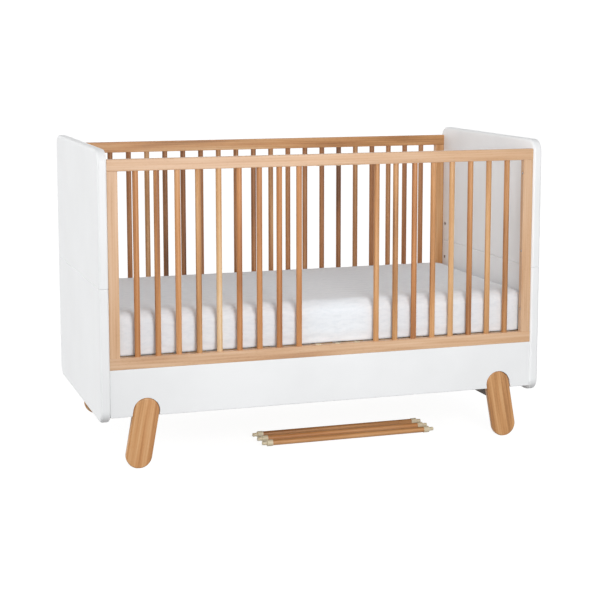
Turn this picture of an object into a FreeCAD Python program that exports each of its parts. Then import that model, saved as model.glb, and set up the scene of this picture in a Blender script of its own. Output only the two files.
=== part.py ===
import FreeCAD, Part
import os
import re
import math
import Sketcher

# Baby crib with slatted sides, a height-adjustable base and three removable rungs.
#
# Frame of the whole crib: the origin is on the floor, under the middle of the crib.
# +X runs along the crib to the right, +Y from the front to the back, +Z up.
# Every length is in millimetres and every angle in degrees.

Vector = FreeCAD.Vector
Rotation = FreeCAD.Rotation

# ---------------------------------------------------------------- driving sizes
# name, value, what it is
SIZES = [
    # end boards
    ("inner_length", 1404, "clear length between the two end boards"),
    ("inner_width", 704, "clear width between the two side frames"),
    ("board_thickness", 30, "thickness of an end board"),
    ("board_overhang", 5, "how far an end board stands proud of a side frame"),
    ("board_bottom", 146, "height of an end board's lower edge"),
    ("board_joint", 562, "height of the joint between lower and upper board"),
    ("board_top", 982, "height of an end board's upper edge"),
    ("board_corner", 40, "radius of an end board's four outline corners"),
    ("board_edge", 8, "rounding of an end board's outer edges"),
    ("joint_edge", 3, "rounding of the two edges that meet at the joint"),
    # side frames
    ("frame_thickness", 22, "thickness of rails, stiles and aprons"),
    ("frame_bottom", 312, "height of a side frame's lower edge"),
    ("frame_top", 952, "height of a side frame's upper edge"),
    ("rail_height", 36, "height of a top or bottom rail"),
    ("stile_width", 32.5, "width of a stile"),
    ("frame_edge", 2, "rounding of the edges of rails, stiles and aprons"),
    # spindles
    ("spindle_count", 20, "places for spindles in one side frame"),
    ("removable_from", 9, "spindle places left of the removable rungs"),
    ("removable_count", 3, "removable rungs in the front frame"),
    ("spindle_radius", 9, "radius of a spindle and of a rung's rod"),
    ("tenon_radius", 6, "radius of a spindle's tenon"),
    ("tenon_length", 16, "length of a spindle's tenon"),
    ("glue_gap", 0.1, "radial room round tenons, dowels and fittings"),
    ("end_gap", 1, "room behind tenons, dowels and fittings"),
    # aprons and legs
    ("apron_bottom", 164, "height of an apron's lower edge"),
    ("leg_radius", 41, "half the width of a leg"),
    ("leg_length", 140.84, "distance between the centres of a leg's two round ends"),
    ("leg_splay", 10, "lean of a leg from upright"),
    ("leg_thickness", 20, "thickness of a leg"),
    ("leg_edge", 5, "rounding of a leg's edges"),
    ("leg_from_end", 111.5, "upper round end's centre from the end board"),
    ("leg_top_rise", 14.5, "upper round end's centre above the apron's lower edge"),
    ("leg_gap", 1, "gap between a leg and its notch in the apron"),
    ("beam_from_end", 116, "crossbeam's outer face from the end board"),
    ("beam_thickness", 28, "thickness of a crossbeam"),
    ("beam_drop", 30, "crossbeam's lower edge below the apron's lower edge"),
    ("beam_height", 150, "height of a crossbeam"),
    ("beam_edge", 3, "rounding of a crossbeam's long edges"),
    # angle brackets and their screws
    ("bracket_sheet", 3, "thickness of a bracket"),
    ("bracket_width", 54, "width of each flange of a bracket"),
    ("bracket_rise", 8, "bracket's lower edge above the apron's lower edge"),
    ("bracket_height", 104, "height of a bracket"),
    ("screw_radius", 2, "radius of a bracket screw"),
    ("screw_length", 16, "length of a bracket screw under its head"),
    ("screw_head_radius", 4, "radius of a bracket screw's head"),
    ("screw_head_height", 2.2, "height of a bracket screw's head"),
    ("leg_screw_first", 10.5, "lower leg screw above the bracket's lower edge"),
    ("leg_screw_second", 29, "upper leg screw above the bracket's lower edge"),
    ("apron_screw_first", 73, "lower apron screw above the bracket's lower edge"),
    ("apron_screw_second", 93.5, "upper apron screw above the bracket's lower edge"),
    ("beam_screw_first", 21, "lower beam screw above the bracket's lower edge"),
    ("beam_screw_second", 83, "upper beam screw above the bracket's lower edge"),
    ("beam_screw_reach", 35, "beam screws from the bracket's outer corner"),
    # frame bolts and base bolts
    ("bolt_radius", 3, "radius of a frame bolt"),
    ("bolt_head_radius", 5, "radius of a frame bolt's head"),
    ("bolt_head_height", 5, "height of a frame bolt's head"),
    ("bolt_sink", 6.5, "depth of a frame bolt's counterbore in the stile"),
    ("bolt_reach", 15, "length of a frame bolt inside the end board"),
    ("bolt_below_joint", 139, "lowest frame bolt below the board joint"),
    ("bolt_above_joint", 54, "middle frame bolt above the board joint"),
    ("bolt_below_top", 80, "highest frame bolt below the frame's upper edge"),
    ("insert_radius", 5, "outer radius of a frame bolt's insert"),
    ("insert_length", 17, "length of an insert"),
    ("base_bolt_radius", 4, "radius of a base bolt"),
    ("base_bolt_head_radius", 8, "radius of a base bolt's head"),
    ("base_bolt_head_height", 5, "height of a base bolt's head"),
    ("base_insert_radius", 6, "outer radius of a base bolt's insert"),
    # wooden dowels
    ("dowel_radius", 4, "radius of a frame or base dowel"),
    ("dowel_length", 40, "length of a frame or base dowel"),
    ("dowel_from_middle", 8, "distance of a frame dowel from the stile's middle"),
    ("board_dowel_radius", 5, "radius of an end board's dowel"),
    ("board_dowel_length", 60, "length of an end board's dowel"),
    ("board_dowel_near", 120, "inner board dowels from the middle of the crib"),
    ("board_dowel_far", 290, "outer board dowels from the middle of the crib"),
    # apron cams
    ("cam_radius", 7.5, "radius of a cam fitting"),
    ("cam_depth", 12.5, "depth of a cam fitting"),
    ("cam_from_end", 34, "cam's centre from the apron's end"),
    ("cam_from_edge", 35, "cam's centre from the apron's upper or lower edge"),
    ("cam_bolt_radius", 3.5, "radius of a cam bolt"),
    ("cam_bolt_reach", 11, "length of a cam bolt inside the end board"),
    # mattress base
    ("base_level", 345, "height of the slats' upper face"),
    ("middle_level_rise", 174.5, "middle level above the lowest one"),
    ("top_level_rise", 299, "highest level above the lowest one"),
    ("base_end_gap", 2, "gap between the base and an end board"),
    ("base_side_gap", 7, "gap between the base and a side frame"),
    ("base_rail_width", 22, "width of the base's rails"),
    ("base_rail_height", 45, "height of the base's end rails"),
    ("long_rail_inset", 26, "long rail's outer face in from the end rail's end"),
    ("base_bolt_inset", 12, "base bolt in from the end rail's end"),
    ("base_bolt_drop", 20, "base bolt below the slats' upper face"),
    ("slat_count", 13, "slats in the base"),
    ("slat_width", 60, "width of a slat"),
    ("slat_thickness", 12, "thickness of a slat"),
    ("base_dowel_drop", 10, "upper base dowel below the slats' lower face"),
    ("base_dowel_spacing", 13, "distance between the two dowels of a joint"),
    ("base_edge", 2, "rounding of the base's wooden edges"),
    ("running_gap", 0.3, "free play round the base bolts"),
    # mattress
    ("mattress_play", 2, "gap between the mattress and each side of the crib"),
    ("mattress_thickness", 135, "thickness of the mattress"),
    ("mattress_corner", 45, "radius of the mattress's upright edges"),
    ("mattress_edge", 28, "rounding of the mattress's upper and lower edges"),
    ("mattress_gap", 0.3, "gap between the mattress and the slats"),
    # removable rungs, laid on the floor
    ("rung_middle_x", 112, "middle of the laid rungs along the crib"),
    ("rung_first_y", -142, "the laid rung nearest the middle of the crib"),
    ("rung_spacing", 55.5, "distance between two laid rungs"),
    ("cap_radius", 10.5, "radius of a rung's cap"),
    ("cap_length", 19, "length of a cap outside the rod"),
    ("cap_edge", 1.2, "chamfer of a cap's rim"),
    ("plug_radius", 6, "radius of the plug of a cap inside the rod"),
    ("plug_length", 26, "length of that plug"),
    ("peg_radius", 6, "radius of a rung's pegs"),
    ("peg_length", 16, "how far a peg stands out of its cap"),
    ("peg_edge", 1.5, "chamfer of a peg's tip"),
    ("peg_guide", 1.5, "length of the sprung peg held in the cap's mouth"),
    ("peg_spare", 0.5, "room left behind the sprung peg when it is pushed in"),
    ("peg_play", 0.05, "radial running clearance of the sprung peg"),
    ("web_thickness", 4, "wall in the sprung cap that the peg's stem passes"),
    ("stem_radius", 3.5, "radius of the sprung peg's stem"),
    ("stem_flange_radius", 4.9, "radius of the flange that holds the stem in"),
    ("stem_flange_height", 3, "height of that flange"),
    ("spring_room_radius", 5.15, "radius of the plug's bore round the spring"),
    ("spring_seat_depth", 48, "depth of the rod's bore, where the spring sits"),
    ("spring_radius", 4.2, "mean radius of the spring"),
    ("spring_wire_radius", 0.45, "radius of the spring's wire"),
    ("spring_turns", 12, "turns of the spring"),
    # sockets for the removable rungs
    ("socket_radius", 8, "outer radius of a socket's sleeve"),
    ("socket_depth", 21, "length of a socket's sleeve"),
    ("socket_floor", 1.5, "thickness of a socket's closed end"),
    ("socket_flange_radius", 9, "radius of a socket's flange"),
    ("socket_flange", 1, "thickness of a socket's flange"),
    ("socket_play", 0.2, "radial room round a peg in its socket"),
]
VALUE = {name: value for name, value, _ in SIZES}

# ------------------------------------------------- lengths worked out from them
HALF_LENGTH = "inner_length / 2"
HALF_WIDTH = "inner_width / 2"
SPINDLE_LENGTH = "(frame_top - frame_bottom - 2 * rail_height)"
SPINDLE_PITCH = "((inner_length - 2 * stile_width + 2 * spindle_radius) / (spindle_count + 1))"
STILE_MIDDLE = "(inner_length / 2 - stile_width / 2)"
FRAME_MIDDLE = "(inner_width / 2 + frame_thickness / 2)"
FRAME_FACE = "(inner_width / 2 + frame_thickness)"
BOARD_WIDTH = "(inner_width + 2 * frame_thickness + 2 * board_overhang)"
LEG_X = "(inner_length / 2 - leg_from_end)"
LEG_Z = "(apron_bottom + leg_top_rise)"
BEAM_FACE = "(inner_length / 2 - beam_from_end)"
BASE_LENGTH = "(inner_length - 2 * base_end_gap)"
BASE_WIDTH = "(inner_width - 2 * base_side_gap)"
LONG_RAIL_LENGTH = "(inner_length - 2 * base_end_gap - 2 * base_rail_width)"
LONG_RAIL_FACE = "(inner_width / 2 - base_side_gap - long_rail_inset)"
BASE_BOLT_Y = "(inner_width / 2 - base_side_gap - base_bolt_inset)"
BASE_BOLT_Z = "(base_level - base_bolt_drop)"
SLAT_SPAN = "(inner_width - 2 * base_side_gap - 2 * long_rail_inset)"
SLAT_PITCH = "(" + LONG_RAIL_LENGTH + " / slat_count)"
CAP_REACH = "(" + SPINDLE_LENGTH + " / 2 - socket_flange)"
ROD_REACH = "(" + CAP_REACH + " - cap_length)"

doc = FreeCAD.newDocument("BabyCrib")
sheet = doc.addObject("Spreadsheet::Sheet", "Sizes")
for row, (name, value, meaning) in enumerate(SIZES, start=1):
    sheet.set("A%d" % row, name)
    sheet.set("B%d" % row, str(value))
    sheet.set("C%d" % row, meaning)
    sheet.setAlias("B%d" % row, name)
doc.recompute()

NODES = []


# ------------------------------------------------------------------ small tools
def formula(text):
    """Turn a formula over the named sizes into one that reads them from the sheet."""
    return re.sub(r"[a-z][a-z_]*", lambda word: sized(word.group(0)), str(text))


def sized(word):
    """Give the sheet's name for a named size, and leave any other word alone."""
    return "Sizes." + word if word in VALUE else word


def bind(target, prop, text):
    """Tie one property of an object to a formula."""
    target.setExpression(prop, formula(text))


def place(target, x="0", y="0", z="0", axis=Vector(0, 0, 1), angle=0):
    """Turn an object about an axis and tie its place to three formulas."""
    target.Placement = FreeCAD.Placement(Vector(0, 0, 0), Rotation(axis, angle))
    bind(target, "Placement.Base.x", x)
    bind(target, "Placement.Base.y", y)
    bind(target, "Placement.Base.z", z)
    return target


def keep(target, label):
    """Name an object as a finished sub-part."""
    target.Label = label
    NODES.append(target)
    return target


def new_body(name):
    """Start a body and give it its own name."""
    return doc.addObject("PartDesign::Body", name + "_body")


def new_sketch(body, role="XY_Plane"):
    """Start a sketch on one of the body's own origin planes."""
    sketch = body.newObject("Sketcher::SketchObject", body.Name + "_sketch")
    plane = next(item for item in body.Origin.OriginFeatures if item.Role == role)
    sketch.AttachmentSupport = [(plane, "")]
    sketch.MapMode = "FlatFace"
    return sketch


def tie_point(sketch, shape, corner, across, up, guess):
    """Hold one point of a sketch at two formulas, counted from the origin."""
    for kind, text, first in (("DistanceX", across, guess.x), ("DistanceY", up, guess.y)):
        rule = sketch.addConstraint(Sketcher.Constraint(kind, -1, 1, shape, corner, first))
        sketch.setExpression("Constraints[%d]" % rule, formula(text))


def draw_outline(sketch, points):
    """Draw a closed outline of straight lines through points given as formulas."""
    count = len(points)
    turns = [2 * math.pi * number / count + 0.3 for number in range(count)]
    guesses = [Vector(50 * math.cos(turn), 50 * math.sin(turn), 0) for turn in turns]
    for number in range(count):
        sketch.addGeometry(Part.LineSegment(guesses[number], guesses[(number + 1) % count]))
    for number, (across, up) in enumerate(points):
        following = (number + 1) % count
        sketch.addConstraint(Sketcher.Constraint("Coincident", number, 2, following, 1))
        tie_point(sketch, number, 1, across, up, guesses[number])


def pad(body, sketch, length, downwards=False):
    """Raise a sketch into a solid of the given length."""
    feature = body.newObject("PartDesign::Pad", body.Name + "_pad")
    feature.Profile = sketch
    feature.Reversed = downwards
    bind(feature, "Length", length)
    doc.recompute()
    return feature


def round_edges(body, base, radius, test):
    """Round the edges of a feature that pass a test."""
    chosen = ["Edge%d" % (n + 1) for n, edge in enumerate(base.Shape.Edges) if test(edge)]
    feature = body.newObject("PartDesign::Fillet", body.Name + "_round")
    feature.Base = (base, chosen)
    bind(feature, "Radius", radius)
    doc.recompute()
    return feature


def along(axis):
    """Make a test for straight edges parallel to one axis."""
    def test(edge):
        run = edge.Vertexes[-1].Point - edge.Vertexes[0].Point
        return run.Length > 0 and abs(getattr(run, axis)) > 0.999 * run.Length
    return test


def bar(name, length, width, height, x="0", y="0", z="0", edge=None, edge_axis="x"):
    """A straight board: its lowest corner at (x, y, z), its long edges rounded."""
    body = new_body(name)
    sketch = new_sketch(body)
    draw_outline(sketch, [("0", "0"), (length, "0"), (length, width), ("0", width)])
    solid = pad(body, sketch, height)
    if edge:
        round_edges(body, solid, edge, along(edge_axis))
    return place(body, x, y, z)


def turned(name, profile):
    """A turned piece: an outline of (radius, height) points spun round its own Z axis."""
    body = new_body(name)
    sketch = new_sketch(body, "XZ_Plane")
    draw_outline(sketch, profile)
    feature = body.newObject("PartDesign::Revolution", body.Name + "_spin")
    feature.Profile = sketch
    feature.ReferenceAxis = (sketch, ["V_Axis"])
    feature.Angle = 360
    doc.recompute()
    return body, sketch, feature


def in_a_row(body, sketch, feature, count, pitch):
    """Repeat a feature along the sketch's horizontal axis."""
    pattern = body.newObject("PartDesign::LinearPattern", body.Name + "_row")
    pattern.Originals = [feature]
    pattern.Direction = (sketch, ["H_Axis"])
    pattern.Mode = "Spacing"
    bind(pattern, "Offset", pitch)
    bind(pattern, "Occurrences", count)
    body.Tip = pattern
    doc.recompute()
    return body


# Which way a rod points: the turn that brings its own Z axis there.
UP = (Vector(0, 0, 1), 0)
DOWN = (Vector(1, 0, 0), 180)
RIGHT = (Vector(0, 1, 0), 90)
LEFT = (Vector(0, 1, 0), -90)
BACKWARDS = (Vector(1, 0, 0), -90)
FORWARDS = (Vector(1, 0, 0), 90)


def rod(name, radius, length, spot, way=UP):
    """A plain cylinder that starts at a spot and runs one way."""
    cylinder = doc.addObject("Part::Cylinder", name + "_rod")
    bind(cylinder, "Radius", radius)
    bind(cylinder, "Height", length)
    return place(cylinder, *spot, *way)


def together(name, members):
    """Hold separate solids as one object."""
    compound = doc.addObject("Part::Compound", name + "_set")
    compound.Links = members
    doc.recompute()
    return compound


def copies(name, master, spots):
    """Place the same piece at many spots, each with the way that it points."""
    links = []
    for spot, way in spots:
        link = doc.addObject("App::Link", name + "_copy")
        link.LinkedObject = master
        links.append(place(link, *spot, *way))
    return together(name, links)


def cut(name, base, tools):
    """Take tools away from a base."""
    feature = doc.addObject("Part::Cut", name + "_cut")
    feature.Base = base
    feature.Tool = tools[0] if len(tools) == 1 else together(name + "_tool", tools)
    doc.recompute()
    return feature


def mirror_signs():
    """The four corners of the crib as signs of X and Y."""
    return [(side, face) for face in (-1, 1) for side in (-1, 1)]


def outward(side):
    """The way along X that leaves the crib on one side."""
    return RIGHT if side > 0 else LEFT


def inward(side):
    """The way along X that enters the crib on one side."""
    return LEFT if side > 0 else RIGHT


SIDES = {-1: "left", 1: "right"}
FACES = {-1: "front", 1: "back"}

# ------------------------------------------------- places of holes and fittings
FRAME_BOLT_HEIGHTS = [
    "board_joint - bolt_below_joint",
    "board_joint + bolt_above_joint",
    "frame_top - bolt_below_top",
]
BASE_LEVELS = [
    BASE_BOLT_Z,
    BASE_BOLT_Z + " + middle_level_rise",
    BASE_BOLT_Z + " + top_level_rise",
]
BOARD_DOWEL_PLACES = ["-board_dowel_far", "-board_dowel_near", "board_dowel_near", "board_dowel_far"]
CAM_HEIGHTS = ["apron_bottom + cam_from_edge", "frame_bottom - cam_from_edge"]
RAIL_DOWEL_HEIGHTS = [
    "frame_bottom + rail_height - dowel_length / 2",
    "frame_top - rail_height - dowel_length / 2",
]
LONG_RAIL_PLACES = {
    "front": "-" + LONG_RAIL_FACE,
    "middle": "-base_rail_width / 2",
    "back": LONG_RAIL_FACE + " - base_rail_width",
}


def spindle_x(place_number):
    """The X of one spindle place, counted from 0 at the left."""
    return "(%d - (spindle_count - 1) / 2) * %s" % (place_number, SPINDLE_PITCH)


def at_side(side, text):
    """A formula on the right side, or its mirror on the left."""
    return text if side > 0 else "-(" + text + ")"


def frame_start(face):
    """The lowest Y of a side frame: its inner face at the back, its outer face at the front."""
    return HALF_WIDTH if face > 0 else "-" + FRAME_FACE


def dowel_holes(name, spots, radius, length, way):
    """Round holes a little wider and longer than the dowels that go in them."""
    return [
        rod(name + "_hole", radius + " + glue_gap", length + " + 2 * end_gap", spot, way)
        for spot in spots
    ]


# --------------------------------------------------------------------- end boards
def end_board(side, part):
    """Half of an end board: outline corners and edges rounded, the joint edge less so."""
    name = SIDES[side] + "_end_" + part
    low, high = ("board_bottom", "board_joint") if part == "lower" else ("board_joint", "board_top")
    full = VALUE[high] - VALUE[low]
    joint, free = (full, 0) if part == "lower" else (0, full)

    def at_free_corner(edge):
        return along("x")(edge) and abs(edge.CenterOfMass.z - free) < 1

    def on_joint(edge):
        return abs(edge.BoundBox.ZMin - joint) < 0.1 and abs(edge.BoundBox.ZMax - joint) < 0.1

    def on_outline(edge):
        return abs(edge.BoundBox.XMax - edge.BoundBox.XMin) < 0.1 and not on_joint(edge)

    body = new_body(name)
    sketch = new_sketch(body)
    half = BOARD_WIDTH + " / 2"
    draw_outline(sketch, [
        ("0", "-" + half), ("board_thickness", "-" + half), ("board_thickness", half), ("0", half),
    ])
    solid = pad(body, sketch, high + " - " + low)
    solid = round_edges(body, solid, "board_corner", at_free_corner)
    solid = round_edges(body, solid, "board_edge", on_outline)
    round_edges(body, solid, "joint_edge", lambda edge: on_joint(edge) and along("y")(edge))
    place(body, at_side(side, HALF_LENGTH), "0", low, Vector(0, 0, 1), 0 if side > 0 else 180)
    return keep(cut(name, body, end_board_holes(name, side, part)), name)


def end_board_holes(name, side, part):
    """Blind holes in one end board for inserts, cam bolts and dowels."""
    start = at_side(side, HALF_LENGTH)
    way = outward(side)
    spots = []
    heights = FRAME_BOLT_HEIGHTS[:1] if part == "lower" else FRAME_BOLT_HEIGHTS[1:]
    levels = BASE_LEVELS[:2] if part == "lower" else BASE_LEVELS[2:]
    for face in (-1, 1):
        for height in heights:
            spots.append((height, at_side(face, FRAME_MIDDLE), "insert_radius", "insert_length"))
        for height in levels:
            spots.append((height, at_side(face, BASE_BOLT_Y), "base_insert_radius", "insert_length"))
        for height in CAM_HEIGHTS if part == "lower" else []:
            spots.append((height, at_side(face, FRAME_MIDDLE), "cam_bolt_radius", "cam_bolt_reach"))
    holes = [
        rod(name + "_hole", radius + " + glue_gap", depth + " + end_gap", (start, y, height), way)
        for height, y, radius, depth in spots
    ]
    middle = at_side(side, HALF_LENGTH + " + board_thickness / 2")
    bottom = "board_joint - board_dowel_length / 2 - end_gap"
    dowel_spots = [(middle, y, bottom) for y in BOARD_DOWEL_PLACES]
    return holes + dowel_holes(name, dowel_spots, "board_dowel_radius", "board_dowel_length", UP)


# -------------------------------------------------------------------- side frames
def rail(face, part):
    """A top or bottom rail with its spindle, socket and dowel holes."""
    name = FACES[face] + "_" + part + "_rail"
    bottom = "frame_bottom" if part == "bottom" else "frame_top - rail_height"
    blank = bar(name, "inner_length", "frame_thickness", "rail_height",
                "-" + HALF_LENGTH, frame_start(face), bottom, "frame_edge")
    inner = "frame_bottom + rail_height" if part == "bottom" else "frame_top - rail_height"
    way = DOWN if part == "bottom" else UP
    y = at_side(face, FRAME_MIDDLE)
    tools = []
    for number in range(VALUE["spindle_count"]):
        socket = face < 0 and number in removable_places()
        radius = "socket_radius" if socket else "tenon_radius"
        depth = "socket_depth" if socket else "tenon_length"
        tools.append(rod(name + "_hole", radius + " + glue_gap", depth + " + end_gap",
                         (spindle_x(number), y, inner), way))
    for side in SIDES:
        for offset in ("-dowel_from_middle", "dowel_from_middle"):
            x = at_side(side, STILE_MIDDLE) + " + " + offset
            tools.append(rod(name + "_hole", "dowel_radius + glue_gap", "dowel_length / 2 + end_gap",
                             (x, y, inner), way))
    return keep(cut(name, blank, tools), name)


def removable_places():
    """Numbers of the spindle places that hold removable rungs."""
    return range(VALUE["removable_from"], VALUE["removable_from"] + VALUE["removable_count"])


def stile(face, side):
    """An upright between the rails, counterbored for the frame bolts."""
    name = FACES[face] + "_" + SIDES[side] + "_stile"
    left = HALF_LENGTH + " - stile_width" if side > 0 else "-" + HALF_LENGTH
    blank = bar(name, "stile_width", "frame_thickness", SPINDLE_LENGTH,
                left, frame_start(face), "frame_bottom + rail_height", "frame_edge", "z")
    y = at_side(face, FRAME_MIDDLE)
    inner_face = at_side(side, HALF_LENGTH + " - stile_width")
    way = outward(side)
    tools = []
    for height in FRAME_BOLT_HEIGHTS:
        tools.append(rod(name + "_hole", "bolt_radius + glue_gap", "stile_width + end_gap",
                         (inner_face, y, height), way))
        tools.append(rod(name + "_sink", "bolt_head_radius + 2 * glue_gap", "bolt_sink",
                         (inner_face, y, height), way))
    for height, end in (("frame_bottom + rail_height", UP), ("frame_top - rail_height", DOWN)):
        for offset in ("-dowel_from_middle", "dowel_from_middle"):
            x = at_side(side, STILE_MIDDLE) + " + " + offset
            tools.append(rod(name + "_hole", "dowel_radius + glue_gap", "dowel_length / 2 + end_gap",
                             (x, y, height), end))
    return keep(cut(name, blank, tools), name)


def spindle_row(face, part, first, count):
    """A run of equal spindles with a tenon at each end."""
    name = FACES[face] + "_spindles_" + part
    top = SPINDLE_LENGTH
    body, sketch, feature = turned(name, [
        ("0", "-tenon_length"), ("tenon_radius", "-tenon_length"), ("tenon_radius", "0"),
        ("spindle_radius", "0"), ("spindle_radius", top), ("tenon_radius", top),
        ("tenon_radius", top + " + tenon_length"), ("0", top + " + tenon_length"),
    ])
    in_a_row(body, sketch, feature, count, SPINDLE_PITCH)
    y = at_side(face, FRAME_MIDDLE)
    return keep(place(body, spindle_x(first), y, "frame_bottom + rail_height"), name)


def sockets(part):
    """Three flanged cups for the pegs of the removable rungs."""
    name = part + "_rung_sockets"
    bore = "peg_radius + socket_play"
    body, sketch, feature = turned(name, [
        ("0", "-socket_depth"), ("socket_radius", "-socket_depth"), ("socket_radius", "0"),
        ("socket_flange_radius", "0"), ("socket_flange_radius", "socket_flange"),
        (bore, "socket_flange"), (bore, "socket_floor - socket_depth"),
        ("0", "socket_floor - socket_depth"),
    ])
    in_a_row(body, sketch, feature, "removable_count", SPINDLE_PITCH)
    upper = part == "upper"
    height = "frame_top - rail_height" if upper else "frame_bottom + rail_height"
    first = spindle_x(VALUE["removable_from"])
    return keep(place(body, first, "-" + FRAME_MIDDLE, height, *(DOWN if upper else UP)), name)


# ----------------------------------------------------------------- aprons and legs
def stadium(name, radius, thickness, side, front):
    """A board with two round ends that leans outwards, its upper centre at the leg's spot."""
    body = new_body(name)
    sketch = new_sketch(body, "XZ_Plane")
    r, length = VALUE["leg_radius"], VALUE["leg_length"]
    high_circle = Part.Circle(Vector(0, 0, 0), Vector(0, 0, 1), r)
    low_circle = Part.Circle(Vector(0, -length, 0), Vector(0, 0, 1), r)
    top = sketch.addGeometry(Part.ArcOfCircle(high_circle, 0, math.pi))
    low = sketch.addGeometry(Part.ArcOfCircle(low_circle, math.pi, 2 * math.pi))
    left = sketch.addGeometry(Part.LineSegment(Vector(-r, 0, 0), Vector(-r, -length, 0)))
    right = sketch.addGeometry(Part.LineSegment(Vector(r, -length, 0), Vector(r, 0, 0)))
    round_trip = (top, left, low, right, top)
    for first, second in zip(round_trip, round_trip[1:]):
        sketch.addConstraint(Sketcher.Constraint("Tangent", first, 2, second, 1))
    sketch.addConstraint(Sketcher.Constraint("Coincident", top, 3, -1, 1))
    sketch.addConstraint(Sketcher.Constraint("Vertical", left))
    rule = sketch.addConstraint(Sketcher.Constraint("Radius", top, r))
    sketch.setExpression("Constraints[%d]" % rule, formula(radius))
    rule = sketch.addConstraint(Sketcher.Constraint("DistanceY", low, 3, top, 3, length))
    sketch.setExpression("Constraints[%d]" % rule, formula("leg_length"))
    solid = pad(body, sketch, thickness, downwards=True)
    place(body, at_side(side, LEG_X), front, LEG_Z, Vector(0, -side, 0), VALUE["leg_splay"])
    bind(body, "Placement.Rotation.Angle", "leg_splay")
    return body, solid


def leg_front(face):
    """The Y where a leg's board starts: flush with the apron's back face."""
    return HALF_WIDTH if face > 0 else "-" + HALF_WIDTH + " - leg_thickness"


def leg(face, side):
    """A leg with rounded edges, cut flat where it stands on the floor."""
    name = FACES[face] + "_" + SIDES[side] + "_leg"
    body, solid = stadium(name, "leg_radius", "leg_thickness", side, leg_front(face))
    round_edges(body, solid, "leg_edge", lambda edge: edge.BoundBox.YMax - edge.BoundBox.YMin < 0.1)
    # a block below the floor that takes in the leg's whole lower end
    floor = doc.addObject("Part::Box", name + "_floor")
    bind(floor, "Length", "4 * leg_radius")
    bind(floor, "Width", "3 * leg_thickness")
    bind(floor, "Height", "leg_radius")
    left = at_side(side, LEG_X) + " - 2 * leg_radius"
    place(floor, left, leg_front(face) + " - leg_thickness", "-leg_radius")
    holes = [screw_hole(name, spot, way) for spot, way in bracket_screws(face, side, "leg")]
    return keep(cut(name, body, [floor] + holes), name)


def apron(face):
    """A board below a side frame, notched for two legs and bored for four cams."""
    name = FACES[face] + "_apron"
    blank = bar(name, "inner_length", "frame_thickness", "frame_bottom - apron_bottom",
                "-" + HALF_LENGTH, frame_start(face), "apron_bottom", "frame_edge")
    tools = []
    for side in SIDES:
        notch, _ = stadium(name + "_notch", "leg_radius + leg_gap", "3 * frame_thickness", side,
                           frame_start(face) + " - frame_thickness")
        tools.append(notch)
        tools += [screw_hole(name, spot, way) for spot, way in bracket_screws(face, side, "apron")]
        for height in CAM_HEIGHTS:
            spot, way = cam_spot(face, side, height)
            tools.append(rod(name + "_cam", "cam_radius + glue_gap", "cam_depth + end_gap / 2", spot, way))
            tools.append(cam_bolt_hole(name, face, side, height))
    return keep(cut(name, blank, tools), name)


def cam_spot(face, side, height):
    """Where one cam enters the apron's inner face, and the way it goes in."""
    x = at_side(side, HALF_LENGTH + " - cam_from_end")
    return (x, at_side(face, HALF_WIDTH), height), (BACKWARDS if face > 0 else FORWARDS)


def cam_bolt_hole(name, face, side, height):
    """The hole for a cam bolt, from the apron's end into the cam."""
    spot = (at_side(side, HALF_LENGTH), at_side(face, FRAME_MIDDLE), height)
    return rod(name + "_hole", "cam_bolt_radius + glue_gap", "cam_from_end", spot, inward(side))


def crossbeam(side):
    """The board that ties a front leg to the rear leg behind it."""
    name = SIDES[side] + "_crossbeam"
    left = BEAM_FACE + " - beam_thickness" if side > 0 else "-" + BEAM_FACE
    blank = bar(name, "beam_thickness", "inner_width", "beam_height",
                left, "-" + HALF_WIDTH, "apron_bottom - beam_drop", "beam_edge", "y")
    holes = []
    for face in FACES:
        holes += [screw_hole(name, spot, way) for spot, way in bracket_screws(face, side, "beam")]
    return keep(cut(name, blank, holes), name)


# --------------------------------------------------------- brackets and their screws
def bracket_screws(face, side, target):
    """The two screws of one bracket that go into a leg, an apron or a crossbeam.

    Each is the spot under the screw's head and the way that the screw points.
    """
    low = "apron_bottom + bracket_rise + "
    heights = [low + target + "_screw_first", low + target + "_screw_second"]
    if target == "beam":
        x = at_side(side, BEAM_FACE + " + bracket_sheet")
        y = at_side(face, HALF_WIDTH + " - beam_screw_reach")
        way = inward(side)
    else:
        x = at_side(side, BEAM_FACE + " + bracket_width / 2")
        y = at_side(face, HALF_WIDTH + " - bracket_sheet")
        way = BACKWARDS if face > 0 else FORWARDS
    return [((x, y, height), way) for height in heights]


def screw_hole(name, spot, way):
    """A pilot hole for one bracket screw."""
    return rod(name + "_screw", "screw_radius + glue_gap / 2", "screw_length + end_gap / 2", spot, way)


def brackets():
    """Four steel angles, each against a crossbeam's outer face and the back of a leg and apron."""
    pieces = []
    for side, face in mirror_signs():
        name = FACES[face] + "_" + SIDES[side] + "_bracket"
        inner, outer = BEAM_FACE, BEAM_FACE + " + bracket_width"
        near, far = HALF_WIDTH, HALF_WIDTH + " - bracket_width"
        body = new_body(name)
        sketch = new_sketch(body)
        corner = [
            (inner, far), (inner + " + bracket_sheet", far),
            (inner + " + bracket_sheet", near + " - bracket_sheet"),
            (outer, near + " - bracket_sheet"), (outer, near), (inner, near),
        ]
        draw_outline(sketch, [(at_side(side, x), at_side(face, y)) for x, y in corner])
        pad(body, sketch, "bracket_height")
        place(body, "0", "0", "apron_bottom + bracket_rise")
        holes = []
        for target in ("leg", "apron", "beam"):
            holes += [screw_hole(name, spot, way) for spot, way in bracket_screws(face, side, target)]
        pieces.append(cut(name, body, holes))
    return keep(together("leg_brackets", pieces), "leg_brackets")


def headed(name, radius, length, head_radius, head_height):
    """A screw or bolt: its head below its own origin, its shank along +Z."""
    body, _, _ = turned(name, [
        ("0", "-" + head_height), (head_radius, "-" + head_height), (head_radius, "0"),
        (radius, "0"), (radius, length), ("0", length),
    ])
    return body


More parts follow.
